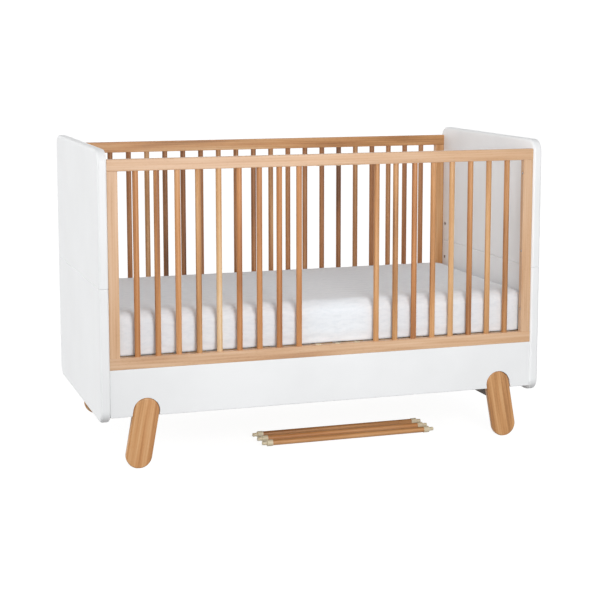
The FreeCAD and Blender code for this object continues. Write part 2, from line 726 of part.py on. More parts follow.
def leg_screws():
    """All screws of the four brackets."""
    master = headed("bracket_screw", "screw_radius", "screw_length",
                    "screw_head_radius", "screw_head_height")
    spots = []
    for side, face in mirror_signs():
        for target in ("leg", "apron", "beam"):
            spots += bracket_screws(face, side, target)
    return keep(copies("leg_screws", master, spots), "leg_screws")


# ---------------------------------------------------------------- bolts and inserts
def frame_bolts():
    """Bolts through the stiles into the end boards."""
    length = "stile_width - bolt_sink + bolt_reach"
    master = headed("frame_bolt", "bolt_radius", length, "bolt_head_radius", "bolt_head_height")
    spots = []
    for side, face in mirror_signs():
        x = at_side(side, HALF_LENGTH + " - stile_width + bolt_sink")
        for height in FRAME_BOLT_HEIGHTS:
            spots.append(((x, at_side(face, FRAME_MIDDLE), height), outward(side)))
    return keep(copies("frame_bolts", master, spots), "frame_bolts")


def sleeve(name, radius, bore):
    """A threaded insert, drawn as a plain sleeve."""
    body, _, _ = turned(name, [
        (bore, "0"), (radius, "0"), (radius, "insert_length"), (bore, "insert_length"),
    ])
    return body


def inserts(name, radius, bore, y, heights):
    """Inserts in both end boards at the given heights, front and back."""
    master = sleeve(name + "_one", radius, bore)
    spots = []
    for side, face in mirror_signs():
        for height in heights:
            spots.append(((at_side(side, HALF_LENGTH), at_side(face, y), height), outward(side)))
    return keep(copies(name, master, spots), name)


def base_bolts():
    """Four shoulder bolts in the end boards that the base's end rails hang on."""
    grip = "base_end_gap + base_rail_width + running_gap"
    length = grip + " + insert_length - end_gap"
    master = headed("base_bolt", "base_bolt_radius", length,
                    "base_bolt_head_radius", "base_bolt_head_height")
    spots = []
    for side, face in mirror_signs():
        x = at_side(side, HALF_LENGTH + " - (" + grip + ")")
        spots.append(((x, at_side(face, BASE_BOLT_Y), BASE_BOLT_Z), outward(side)))
    return keep(copies("base_bolts", master, spots), "base_bolts")


def board_dowels():
    """Dowels across the joints of both end boards."""
    spots = []
    for side in SIDES:
        x = at_side(side, HALF_LENGTH + " + board_thickness / 2")
        spots += [(x, y, "board_joint - board_dowel_length / 2") for y in BOARD_DOWEL_PLACES]
    pieces = [rod("board_dowel", "board_dowel_radius", "board_dowel_length", spot) for spot in spots]
    return keep(together("board_dowels", pieces), "board_dowels")


def frame_dowels():
    """Two dowels at each end of the four stiles."""
    pieces = []
    for side, face in mirror_signs():
        for height in RAIL_DOWEL_HEIGHTS:
            for offset in ("-dowel_from_middle", "dowel_from_middle"):
                x = at_side(side, STILE_MIDDLE) + " + " + offset
                spot = (x, at_side(face, FRAME_MIDDLE), height)
                pieces.append(rod("frame_dowel", "dowel_radius", "dowel_length", spot))
    return keep(together("frame_dowels", pieces), "frame_dowels")


def cam_spots():
    """The spots of all eight cams with their sides and heights."""
    return [(face, side, height) for side, face in mirror_signs() for height in CAM_HEIGHTS]


def apron_cams():
    """Round cams in the aprons' inner faces, each with a hole for its bolt."""
    pieces = []
    for face, side, height in cam_spots():
        spot, way = cam_spot(face, side, height)
        disc = rod("apron_cam", "cam_radius", "cam_depth", spot, way)
        pieces.append(cut("apron_cam", disc, [cam_bolt_hole("apron_cam", face, side, height)]))
    return keep(together("apron_cams", pieces), "apron_cams")


def apron_cam_bolts():
    """Bolts from the end boards into the cams."""
    pieces = []
    for face, side, height in cam_spots():
        x = at_side(side, HALF_LENGTH + " + cam_bolt_reach")
        spot = (x, at_side(face, FRAME_MIDDLE), height)
        length = "cam_bolt_reach + cam_from_end - end_gap"
        pieces.append(rod("apron_cam_bolt", "cam_bolt_radius", length, spot, inward(side)))
    return keep(together("apron_cam_bolts", pieces), "apron_cam_bolts")


# ------------------------------------------------------------------- mattress base
def base_dowel_spots():
    """Two dowels at each end of the three long rails: the spot of each one's left end."""
    upper = "base_level - slat_thickness - base_dowel_drop"
    spots = []
    for side in SIDES:
        x = at_side(side, LONG_RAIL_LENGTH + " / 2") + " - dowel_length / 2"
        for y in LONG_RAIL_PLACES.values():
            for height in (upper, upper + " - base_dowel_spacing"):
                spots.append((x, y + " + base_rail_width / 2", height))
    return spots


def base_dowel_hole_spots():
    """The spots where the holes of the base dowels start, a little left of the dowels."""
    return [(x + " - end_gap", y, z) for x, y, z in base_dowel_spots()]


def base_end_rail(side):
    """An end rail of the base, slotted from below for the two base bolts."""
    name = "base_" + SIDES[side] + "_rail"
    left = "-" + BASE_LENGTH + " / 2" if side < 0 else BASE_LENGTH + " / 2 - base_rail_width"
    blank = bar(name, "base_rail_width", BASE_WIDTH, "base_rail_height",
                left, "-" + BASE_WIDTH + " / 2", "base_level - base_rail_height", "base_edge", "y")
    tools = []
    radius = "base_bolt_radius + running_gap"
    for face in FACES:
        y = at_side(face, BASE_BOLT_Y)
        start = left + " - end_gap"
        tools.append(rod(name + "_slot", radius, "base_rail_width + 2 * end_gap",
                         (start, y, BASE_BOLT_Z + " + running_gap"), RIGHT))
        slot = doc.addObject("Part::Box", name + "_slot")
        bind(slot, "Length", "base_rail_width + 2 * end_gap")
        bind(slot, "Width", "2 * (" + radius + ")")
        bind(slot, "Height", "base_rail_height")
        place(slot, start, y + " - (" + radius + ")", BASE_BOLT_Z + " + running_gap - base_rail_height")
        tools.append(slot)
    tools += dowel_holes(name, base_dowel_hole_spots(), "dowel_radius", "dowel_length", RIGHT)
    return keep(cut(name, blank, tools), name)


def base_long_rail(part):
    """A long rail of the base, under the slats."""
    name = "base_" + part + "_rail"
    blank = bar(name, LONG_RAIL_LENGTH, "base_rail_width", "base_rail_height - slat_thickness",
                "-" + LONG_RAIL_LENGTH + " / 2", LONG_RAIL_PLACES[part],
                "base_level - base_rail_height", "base_edge")
    holes = dowel_holes(name, base_dowel_hole_spots(), "dowel_radius", "dowel_length", RIGHT)
    return keep(cut(name, blank, holes), name)


def base_slats():
    """Thin slats across the long rails, spaced evenly."""
    name = "base_slats"
    body = new_body(name)
    sketch = new_sketch(body)
    draw_outline(sketch, [("0", "0"), ("slat_width", "0"), ("slat_width", SLAT_SPAN), ("0", SLAT_SPAN)])
    solid = pad(body, sketch, "slat_thickness")
    in_a_row(body, sketch, solid, "slat_count", SLAT_PITCH)
    first = "-" + LONG_RAIL_LENGTH + " / 2 + (" + SLAT_PITCH + " - slat_width) / 2"
    return keep(place(body, first, "-" + SLAT_SPAN + " / 2", "base_level - slat_thickness"), name)


def base_dowels():
    """Dowels between the base's long rails and end rails."""
    pieces = [rod("base_dowel", "dowel_radius", "dowel_length", spot, RIGHT) for spot in base_dowel_spots()]
    return keep(together("base_dowels", pieces), "base_dowels")


def mattress():
    """The mattress as a plain block with rounded edges, just above the slats."""
    name = "mattress"
    body = new_body(name)
    sketch = new_sketch(body)
    half_length = "(" + HALF_LENGTH + " - mattress_play)"
    half_width = "(" + HALF_WIDTH + " - mattress_play)"
    draw_outline(sketch, [
        ("-" + half_length, "-" + half_width), (half_length, "-" + half_width),
        (half_length, half_width), ("-" + half_length, half_width),
    ])
    solid = pad(body, sketch, "mattress_thickness")
    solid = round_edges(body, solid, "mattress_corner", along("z"))
    round_edges(body, solid, "mattress_edge", lambda edge: edge.BoundBox.ZMax - edge.BoundBox.ZMin < 0.1)
    return keep(place(body, "0", "0", "base_level + mattress_gap"), name)


# ------------------------------------------------------------------ removable rungs
def rung(number):
    """One loose rung: a rod, a fixed cap, a sprung cap, its peg and its spring.

    Each is turned about its own Z axis, which then lies along the crib.
    """
    name = "rung_%d" % (number + 1)
    spot = ("rung_middle_x", "rung_first_y - %d * rung_spacing" % number, "cap_radius")
    rim, face = CAP_REACH, ROD_REACH
    mouth = "plug_radius + glue_gap"
    rod_body, _, _ = turned(name + "_rod", [
        ("0", "-%s + plug_length + end_gap" % face), (mouth, "-%s + plug_length + end_gap" % face),
        (mouth, "-" + face), ("spindle_radius", "-" + face), ("spindle_radius", face),
        (mouth, face), (mouth, face + " - spring_seat_depth"), ("0", face + " - spring_seat_depth"),
    ])
    fixed_cap, _, _ = turned(name + "_fixed_cap", [
        ("0", "-%s - peg_length" % rim), ("peg_radius - peg_edge", "-%s - peg_length" % rim),
        ("peg_radius", "-%s - peg_length + peg_edge" % rim), ("peg_radius", "-" + rim),
        ("cap_radius - cap_edge", "-" + rim), ("cap_radius", "-%s + cap_edge" % rim),
        ("cap_radius", "-" + face), ("plug_radius", "-" + face),
        ("plug_radius", "-%s + plug_length" % face), ("0", "-%s + plug_length" % face),
    ])
    bore, stem_bore = "peg_radius + peg_play", "stem_radius + peg_play"
    web_top = rim + " - peg_length - peg_guide - peg_spare"
    web_bottom = web_top + " - web_thickness"
    sprung_cap, _, _ = turned(name + "_sprung_cap", [
        ("spring_room_radius", face + " - plug_length"), ("plug_radius", face + " - plug_length"),
        ("plug_radius", face), ("cap_radius", face), ("cap_radius", rim + " - cap_edge"),
        ("cap_radius - cap_edge", rim), (bore, rim), (bore, web_top), (stem_bore, web_top),
        (stem_bore, web_bottom), ("spring_room_radius", web_bottom),
    ])
    flange_top = web_bottom + " - 2 * peg_play"
    flange_bottom = flange_top + " - stem_flange_height"
    peg, _, _ = turned(name + "_peg", [
        ("0", flange_bottom), ("stem_flange_radius", flange_bottom), ("stem_flange_radius", flange_top),
        ("stem_radius", flange_top), ("stem_radius", rim + " - peg_guide"),
        ("peg_radius", rim + " - peg_guide"), ("peg_radius", rim + " + peg_length - peg_edge"),
        ("peg_radius - peg_edge", rim + " + peg_length"), ("0", rim + " + peg_length"),
    ])
    pieces = {"rod": rod_body, "fixed_cap": fixed_cap, "sprung_cap": sprung_cap, "peg": peg}
    for part, body in pieces.items():
        keep(place(body, *spot, *RIGHT), name + "_" + part)
    rung_spring(name, spot, face + " - spring_seat_depth", flange_bottom)


def rung_spring(name, spot, low, high):
    """The coil spring behind a sprung peg, its wire just clear of both seats."""
    x, y, z = spot
    start = "%s + spring_wire_radius + peg_play" % low
    run = "(%s) - (%s) - 2 * spring_wire_radius - 2 * peg_play" % (high, low)
    helix = doc.addObject("Part::Helix", name + "_coil")
    bind(helix, "Radius", "spring_radius")
    bind(helix, "Height", run)
    bind(helix, "Pitch", "(" + run + ") / spring_turns")
    wire = doc.addObject("Part::Circle", name + "_wire")
    bind(wire, "Radius", "spring_wire_radius")
    place(wire, "spring_radius", "0", "0", Vector(1, 0, 0), 90)
    sweep = doc.addObject("Part::Sweep", name + "_spring_sweep")
    sweep.Sections = [wire]
    sweep.Spine = (helix, ["Edge1"])
    sweep.Solid = True
    sweep.Frenet = True
    doc.recompute()
    keep(place(sweep, x + " + " + start, y, z, *RIGHT), name + "_spring")


# ------------------------------------------------------------------ the whole crib
for side in SIDES:
    for part in ("lower", "upper"):
        end_board(side, part)
    crossbeam(side)
    base_end_rail(side)
for face in FACES:
    apron(face)
    for part in ("top", "bottom"):
        rail(face, part)
    for side in SIDES:
        stile(face, side)
        leg(face, side)
first_after = VALUE["removable_from"] + VALUE["removable_count"]
half_count = VALUE["spindle_count"] // 2
spindle_row(-1, "left", 0, VALUE["removable_from"])
spindle_row(-1, "right", first_after, VALUE["spindle_count"] - first_after)
spindle_row(1, "left", 0, half_count)
spindle_row(1, "right", half_count, VALUE["spindle_count"] - half_count)
for part in ("lower", "upper"):
    sockets(part)
brackets()
leg_screws()
frame_bolts()
inserts("frame_inserts", "insert_radius", "bolt_radius + glue_gap", FRAME_MIDDLE, FRAME_BOLT_HEIGHTS)
inserts("base_inserts", "base_insert_radius", "base_bolt_radius + glue_gap", BASE_BOLT_Y, BASE_LEVELS)
base_bolts()
board_dowels()
frame_dowels()
apron_cams()
apron_cam_bolts()
for part in LONG_RAIL_PLACES:
    base_long_rail(part)
base_slats()
base_dowels()
mattress()
for number in range(VALUE["removable_count"]):
    rung(number)

# --------------------------------------------------------------- check and export
doc.recompute()
for item in doc.Objects:
    if "Invalid" in item.State or "Error" in item.State:
        raise RuntimeError("%s is not built: %s" % (item.Name, item.State))
os.makedirs("parts", exist_ok=True)
for node in NODES:
    if node.Shape.isNull() or not node.Shape.isValid() or not node.Shape.Solids:
        raise RuntimeError("%s has no valid solid" % node.Label)
for node in NODES:
    node.Shape.exportStep(os.path.join("parts", node.Label + ".step"))
    print("%-22s %2d solids" % (node.Label, len(node.Shape.Solids)))
print(len(NODES), "sub-parts")
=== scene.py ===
"""The looks of a baby crib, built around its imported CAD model.

+X runs along the crib to the right, +Y from its front to its back and +Z up, as in the CAD model.
Lengths are in metres, and those whose name ends in _mm are in millimetres.
"""

import functools
import logging
import math
from dataclasses import dataclass, field
from enum import Enum
from typing import Any, Sequence

import bmesh
import bpy
import numpy as np
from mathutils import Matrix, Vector

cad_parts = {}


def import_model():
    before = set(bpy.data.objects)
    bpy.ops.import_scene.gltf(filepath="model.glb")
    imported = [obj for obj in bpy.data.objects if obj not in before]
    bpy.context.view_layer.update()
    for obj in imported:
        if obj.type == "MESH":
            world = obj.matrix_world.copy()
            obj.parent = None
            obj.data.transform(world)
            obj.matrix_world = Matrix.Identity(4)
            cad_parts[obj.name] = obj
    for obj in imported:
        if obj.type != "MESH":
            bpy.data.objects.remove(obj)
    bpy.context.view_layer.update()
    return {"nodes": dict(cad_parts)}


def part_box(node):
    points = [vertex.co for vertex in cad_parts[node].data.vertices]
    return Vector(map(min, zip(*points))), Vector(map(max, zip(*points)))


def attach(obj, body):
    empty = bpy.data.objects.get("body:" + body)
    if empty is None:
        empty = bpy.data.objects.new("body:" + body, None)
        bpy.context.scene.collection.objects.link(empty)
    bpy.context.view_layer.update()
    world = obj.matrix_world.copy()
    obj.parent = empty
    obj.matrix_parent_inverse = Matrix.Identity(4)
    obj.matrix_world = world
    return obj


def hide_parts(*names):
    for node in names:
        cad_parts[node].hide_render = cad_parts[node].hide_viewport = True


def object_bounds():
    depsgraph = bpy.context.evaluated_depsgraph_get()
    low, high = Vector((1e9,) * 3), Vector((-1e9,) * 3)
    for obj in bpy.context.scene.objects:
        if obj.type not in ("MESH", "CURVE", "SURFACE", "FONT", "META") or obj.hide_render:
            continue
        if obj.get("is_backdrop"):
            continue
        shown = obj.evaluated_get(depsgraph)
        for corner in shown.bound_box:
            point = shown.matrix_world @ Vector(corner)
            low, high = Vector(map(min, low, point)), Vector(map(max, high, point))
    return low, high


log = logging.getLogger("crib")

MM = 0.001
SIDES = ("left", "right")
FACES = ("front", "back")
RUNGS = (1, 2, 3)
# the wave pattern repeats every 2 pi / 20 units of its coordinates
WAVE_PERIOD = 2 * math.pi / 20


# ------------------------------------------------------------------------ colours and nodes
def linear(code: str, alpha: float = 1.0) -> tuple[float, float, float, float]:
    """Turn an sRGB hex colour into the linear one that a shader works with.

    Args:
        code: the colour as "#RRGGBB".
        alpha: its opacity.
    Returns:
        Red, green, blue and alpha, the first three in linear light.
    """
    steps = [int(code[place:place + 2], 16) / 255 for place in (1, 3, 5)]
    light = [step / 12.92 if step <= 0.04045 else ((step + 0.055) / 1.055) ** 2.4 for step in steps]
    return light[0], light[1], light[2], alpha


def add_node(
    tree: bpy.types.NodeTree,
    kind: str,
    inputs: dict[str | int, Any] | None = None,
    stops: Sequence[tuple[float, str]] = (),
    **settings: Any,
) -> bpy.types.Node:
    """Add a shader node with its settings and links.

    Args:
        tree: the node tree that it goes into.
        kind: the node's type, without the "ShaderNode" in front.
        inputs: for each input socket, the socket that feeds it or its plain value.
        stops: for a colour ramp, the place and hex colour of each stop.
        settings: the node's own properties.
    Returns:
        The new node.
    """
    node = tree.nodes.new("ShaderNode" + kind)
    for name, value in settings.items():
        setattr(node, name, value)
    for socket, value in (inputs or {}).items():
        if isinstance(value, bpy.types.NodeSocket):
            tree.links.new(value, node.inputs[socket])
        else:
            node.inputs[socket].default_value = value
    for number, (place, code) in enumerate(stops):
        ramp = node.color_ramp.elements
        stop = ramp[number] if number < 2 else ramp.new(place)
        stop.position = place
        stop.color = linear(code)
    return node


class Grain(Enum):
    """Which way the fibres of a wooden piece run, as the turn that brings them to the pattern's Z."""

    ALONG_X = (0, -90, 0)
    ALONG_Y = (90, 0, 0)
    ALONG_Z = (0, 0, 0)
    LEFT_LEG = (0, -10, 0)
    RIGHT_LEG = (0, 10, 0)


# ---------------------------------------------------------------------------------- finishes
@dataclass(frozen=True)
class Finish:
    """What every finish shares: it paints one principled shader of its own material."""

    def title(self) -> str:
        """The material's name."""
        return type(self).__name__

    def paint(self, tree: bpy.types.NodeTree, shader: bpy.types.Node) -> None:
        """Add the finish's nodes and set the shader's sockets."""
        raise NotImplementedError


@functools.cache
def material_of(finish: Finish) -> bpy.types.Material:
    """Make a finish's material once and hand out the same one after that.

    Args:
        finish: the finish.
    Returns:
        Its material.
    """
    material = bpy.data.materials.new(finish.title())
    material.use_nodes = True
    tree = material.node_tree
    tree.nodes.clear()
    shader = add_node(tree, "BsdfPrincipled")
    add_node(tree, "OutputMaterial", {"Surface": shader.outputs["BSDF"]})
    finish.paint(tree, shader)
    return material


@dataclass(frozen=True)
class SatinLacquer(Finish):
    """Satin white lacquer sprayed on fibreboard.

    The eye sees an even, slightly soft white. A very fine orange peel breaks up the reflections,
    and the tone drifts a little over a hand's width.
    """

    colour: str = "#F2F3F4"
    shade: str = "#EDEEEF"
    cloud_mm: float = 240.0
    peel_mm: float = 2.6
    peel_depth_mm: float = 0.03
    roughness: tuple[float, float] = (0.36, 0.46)
    ior: float = 1.48

    def paint(self, tree: bpy.types.NodeTree, shader: bpy.types.Node) -> None:
        """Cloudy tone, drifting roughness and orange peel."""
        place = add_node(tree, "TexCoord").outputs["Object"]
        cloud = add_node(tree, "TexNoise", {
            "Vector": place, "Scale": 1 / (self.cloud_mm * MM), "Detail": 3.0,
        }).outputs["Fac"]
        tone = add_node(tree, "MapRange", {
            "Value": cloud, "From Min": 0.35, "From Max": 0.65,
        }).outputs["Result"]
        colour = add_node(
            tree, "Mix", {0: tone, 6: linear(self.shade), 7: linear(self.colour)}, data_type="RGBA"
        ).outputs[2]
        gloss = add_node(tree, "MapRange", {
            "Value": cloud, "From Min": 0.3, "From Max": 0.7,
            "To Min": self.roughness[0], "To Max": self.roughness[1],
        }).outputs["Result"]
        peel = add_node(tree, "TexNoise", {
            "Vector": place, "Scale": 1 / (self.peel_mm * MM), "Detail": 2.0,
        }).outputs["Fac"]
        bump = add_node(tree, "Bump", {"Height": peel, "Strength": 0.5, "Distance": self.peel_depth_mm * MM})
        tree.links.new(colour, shader.inputs["Base Color"])
        tree.links.new(gloss, shader.inputs["Roughness"])
        tree.links.new(bump.outputs["Normal"], shader.inputs["Normal"])
        shader.inputs["IOR"].default_value = self.ior


@dataclass(frozen=True)
class LacqueredBeech(Finish):
    """Planed hardwood under a clear satin lacquer: solid beech by default.

    The eye sees straight fibres along the piece, bands of darker and lighter figure, faint growth
    rings, small dark ray flecks, and a tone that changes from one stick to the next.
    """

    grain: Grain = Grain.ALONG_X
    sticks_per_metre: tuple[float, float] = (0.0, 0.0)
    tones: tuple[str, ...] = ("#7E5230", "#AE7A49", "#CB9661", "#DBAF7E", "#E9CAA2")
    warm: str = "#C97C3F"
    warmth: float = 0.38
    middle: float = 0.50
    board_mm: tuple[float, float] = (70.0, 800.0)
    board_share: float = 0.55
    figure_mm: tuple[float, float] = (15.0, 330.0)
    figure_share: float = 1.05
    ring_mm: float = 7.0
    ring_share: float = 0.10
    fibre_mm: tuple[float, float] = (2.2, 120.0)
    fibre_share: float = 0.42
    fleck_mm: tuple[float, float] = (2.4, 12.0)
    fleck_share: float = 0.16
    stick_share: float = 0.55
    roughness: tuple[float, float] = (0.34, 0.48)
    pore_depth_mm: float = 0.08
    ior: float = 1.5

    def title(self) -> str:
        """The material's name with the way its fibres run."""
        sticks = "_sticks" if any(self.sticks_per_metre) else ""
        return type(self).__name__ + "_" + self.grain.name.lower() + sticks

    def streaks(
        self,
        tree: bpy.types.NodeTree,
        fibres: bpy.types.NodeSocket,
        size_mm: tuple[float, float],
        detail: float,
    ) -> bpy.types.NodeSocket:
        """Noise stretched along the fibres.

        Args:
            tree: the material's node tree.
            fibres: coordinates whose Z runs along the fibres.
            size_mm: a patch's width across and length along the fibres.
            detail: how many finer layers of noise it has.
        Returns:
            A value round one half.
        """
        return add_node(tree, "TexNoise", {
            "Vector": self.stretched(tree, fibres, size_mm), "Scale": 1.0, "Detail": detail,
        }).outputs["Fac"]

    def stretched(
        self, tree: bpy.types.NodeTree, fibres: bpy.types.NodeSocket, size_mm: tuple[float, float]
    ) -> bpy.types.NodeSocket:
        """Scale the fibre space so that one unit is a patch of the given width and length."""
        across, along = (1 / (size * MM) for size in size_mm)
        return add_node(tree, "Mapping", {
            "Vector": fibres, "Scale": (across, across, along),
        }).outputs["Vector"]

    def flecks(self, tree: bpy.types.NodeTree, fibres: bpy.types.NodeSocket) -> bpy.types.NodeSocket:
        """Short dark spindles: the middles of stretched cells, each as dark as its cell's own number."""
        cell = add_node(tree, "TexVoronoi", {
            "Vector": self.stretched(tree, fibres, self.fleck_mm), "Scale": 1.0,
        })
        spot = add_node(tree, "MapRange", {
            "Value": cell.outputs["Distance"], "From Min": 0.12, "From Max": 0.42,
            "To Min": 1.0, "To Max": 0.0,
        }).outputs["Result"]
        chosen = add_node(tree, "SeparateColor", {"Color": cell.outputs["Color"]}).outputs["Red"]
        return add_node(tree, "Math", {0: spot, 1: chosen}, operation="MULTIPLY").outputs["Value"]

    def rings(self, tree: bpy.types.NodeTree, fibres: bpy.types.NodeSocket) -> bpy.types.NodeSocket:
        """Growth rings round the fibres' axis, bent slowly along it."""
        bent = add_node(tree, "Mapping", {"Vector": fibres, "Scale": (1.0, 1.0, 0.06)}).outputs["Vector"]
        return add_node(tree, "TexWave", {
            "Vector": bent, "Scale": WAVE_PERIOD / (self.ring_mm * MM), "Distortion": 5.0,
            "Detail": 2.0, "Detail Scale": 0.35,
        }, wave_type="RINGS", rings_direction="Z").outputs["Fac"]

    def paint(self, tree: bpy.types.NodeTree, shader: bpy.types.Node) -> None:
        """Tone from sticks, boards, figure, rings, fibres and flecks, with a bump from the last two."""
        place = add_node(tree, "TexCoord").outputs["Object"]
        turn = [math.radians(angle) for angle in self.grain.value]
        fibres = add_node(tree, "Mapping", {"Vector": place, "Rotation": turn}).outputs["Vector"]
        board = self.streaks(tree, fibres, self.board_mm, 2.0)
        figure = self.streaks(tree, fibres, self.figure_mm, 1.0)
        fibre = self.streaks(tree, fibres, self.fibre_mm, 3.0)
        fleck = self.flecks(tree, fibres)
        shares = [
            (board, self.board_share),
            (figure, self.figure_share),
            (self.rings(tree, fibres), self.ring_share),
            (fibre, self.fibre_share),
        ]
        drift = board
        if any(self.sticks_per_metre):
            stick = self.stick_number(tree, place)
            shares.append((stick.outputs["Value"], self.stick_share))
            drift = add_node(tree, "SeparateColor", {"Color": stick.outputs["Color"]}).outputs["Green"]
        total: Any = self.middle
        for socket, share in shares:
            centred = add_node(tree, "Math", {0: socket, 1: 0.5}, operation="SUBTRACT").outputs["Value"]
            total = add_node(
                tree, "Math", {0: centred, 1: share, 2: total}, operation="MULTIPLY_ADD"
            ).outputs["Value"]
        total = add_node(
            tree, "Math", {0: fleck, 1: -self.fleck_share, 2: total}, operation="MULTIPLY_ADD"
        ).outputs["Value"]
        places = [number / (len(self.tones) - 1) for number in range(len(self.tones))]
        wood = add_node(tree, "ValToRGB", {"Fac": total}, list(zip(places, self.tones))).outputs["Color"]
        share = add_node(tree, "MapRange", {
            "Value": drift, "From Min": 0.35, "From Max": 0.8, "To Max": self.warmth,
        }).outputs["Result"]
        colour = add_node(tree, "Mix", {0: share, 6: wood, 7: linear(self.warm)}, data_type="RGBA").outputs[2]
        gloss = add_node(tree, "MapRange", {
            "Value": fibre, "From Min": 0.3, "From Max": 0.7,
            "To Min": self.roughness[0], "To Max": self.roughness[1],
        }).outputs["Result"]
        relief = add_node(
            tree, "Math", {0: fleck, 1: -0.6, 2: fibre}, operation="MULTIPLY_ADD"
        ).outputs["Value"]
        bump = add_node(tree, "Bump", {
            "Height": relief, "Strength": 0.4, "Distance": self.pore_depth_mm * MM,
        })
        tree.links.new(colour, shader.inputs["Base Color"])
        tree.links.new(gloss, shader.inputs["Roughness"])
        tree.links.new(bump.outputs["Normal"], shader.inputs["Normal"])
        shader.inputs["IOR"].default_value = self.ior

    def stick_number(self, tree: bpy.types.NodeTree, place: bpy.types.NodeSocket) -> bpy.types.Node:
        """A random number and colour for each stick: X and Y rounded down to whole sticks."""
        counted = add_node(tree, "Mapping", {"Vector": place, "Scale": (*self.sticks_per_metre, 0.0)})
        floor = add_node(tree, "VectorMath", {0: counted.outputs["Vector"]}, operation="FLOOR")
        return add_node(tree, "TexWhiteNoise", {"Vector": floor.outputs["Vector"]}, noise_dimensions="3D")


@dataclass(frozen=True)
class PaleBeech(LacqueredBeech):
    """The straighter, paler beech of the front's rails and stiles; the back's rails and stiles take the
    darker LacqueredBeech as painted shade.
    """

    tones: tuple[str, ...] = ("#A87B57", "#C49872", "#D6B08D", "#E1C0A1", "#EED7BF")
    warm: str = "#D59E69"
    board_share: float = 0.55
    figure_share: float = 0.80
    fibre_share: float = 0.40


@dataclass(frozen=True)
class ShadedBackBeech(LacqueredBeech):
    """Browner, darker beech as painted shade for the back's spindles, which get less light than the front's.
    """

    tones: tuple[str, ...] = ("#5E3C22", "#8C5D36", "#AD784B", "#C39363", "#D9B287")
    warm: str = "#A9683A"


@dataclass(frozen=True)
class ShadeDarkenedBeech(LacqueredBeech):
    """Beech painted nearly black as painted shade for the crossbeams, which lie in deep shadow: the figure
    only just shows through.
    """

    tones: tuple[str, ...] = ("#2A1F18", "#3B2C22", "#4A382B", "#574334", "#664F3E")
    warm: str = "#5A3F2C"
    roughness: tuple[float, float] = (0.45, 0.60)


@dataclass(frozen=True)
class PlainWood(LacqueredBeech):
    """Planed softwood without lacquer, as in the base and the dowels: paler and drier than the beech."""

    tones: tuple[str, ...] = ("#C39A66", "#D8B583", "#E0C092", "#E4C79B", "#EED8B4")
    warm: str = "#DDB785"
    figure_share: float = 0.30
    ring_mm: float = 4.0
    ring_share: float = 0.35
    roughness: tuple[float, float] = (0.55, 0.70)


@dataclass(frozen=True)
class KnitCover(Finish):
    """White quilted knit of polyester and cotton.

    The eye sees a matt, faintly fuzzy white. The real ribs are 1.5 mm wide; they are drawn at 5 mm,
    as fine as the picture can show, with small motifs woven between the quilting lines.
    """

    colour: str = "#EFF2F6"
    shade: str = "#E8ECF1"
    rib_mm: float = 5.0
    motif_mm: tuple[float, float] = (22.0, 9.0)
    fuzz_mm: float = 2.2
    relief_mm: float = 0.28
    roughness: float = 0.9
    sheen: float = 0.2

    def paint(self, tree: bpy.types.NodeTree, shader: bpy.types.Node) -> None:
        """Ribs, woven motifs and a slight drift of tone on the cover's own cloth coordinates."""
        cloth = add_node(tree, "UVMap", uv_map="Cloth").outputs["UV"]
        long, wide = (1 / (size * MM) for size in self.motif_mm)
        woven = add_node(tree, "Mapping", {"Vector": cloth, "Scale": (long, wide, 1.0)}).outputs["Vector"]
        motif = add_node(tree, "TexNoise", {
            "Vector": woven, "Scale": 1.0, "Detail": 2.0, "Distortion": 0.6,
        }).outputs["Fac"]
        rib = add_node(tree, "TexWave", {
            "Vector": cloth, "Scale": WAVE_PERIOD / (self.rib_mm * MM), "Distortion": 1.2, "Detail": 1.0,
        }, wave_type="BANDS", bands_direction="X").outputs["Fac"]
        place = add_node(tree, "TexCoord").outputs["Object"]
        fuzz = add_node(tree, "TexNoise", {
            "Vector": place, "Scale": 1 / (self.fuzz_mm * MM), "Detail": 3.0,
        }).outputs["Fac"]
        tone = add_node(tree, "MapRange", {
            "Value": motif, "From Min": 0.30, "From Max": 0.62,
        }).outputs["Result"]
        tone = add_node(tree, "Math", {0: rib, 1: 0.25, 2: tone}, operation="MULTIPLY_ADD").outputs["Value"]
        colour = add_node(
            tree, "Mix", {0: tone, 6: linear(self.shade), 7: linear(self.colour)}, data_type="RGBA"
        ).outputs[2]
        height = add_node(
            tree, "Math", {0: rib, 1: 0.35, 2: motif}, operation="MULTIPLY_ADD"
        ).outputs["Value"]
        height = add_node(
            tree, "Math", {0: fuzz, 1: 0.3, 2: height}, operation="MULTIPLY_ADD"
        ).outputs["Value"]
        bump = add_node(tree, "Bump", {"Height": height, "Strength": 0.5, "Distance": self.relief_mm * MM})
        tree.links.new(colour, shader.inputs["Base Color"])
        tree.links.new(bump.outputs["Normal"], shader.inputs["Normal"])
        shader.inputs["Roughness"].default_value = self.roughness
        shader.inputs["Specular IOR Level"].default_value = 0.25
        shader.inputs["Sheen Weight"].default_value = self.sheen
        shader.inputs["Sheen Roughness"].default_value = 0.5


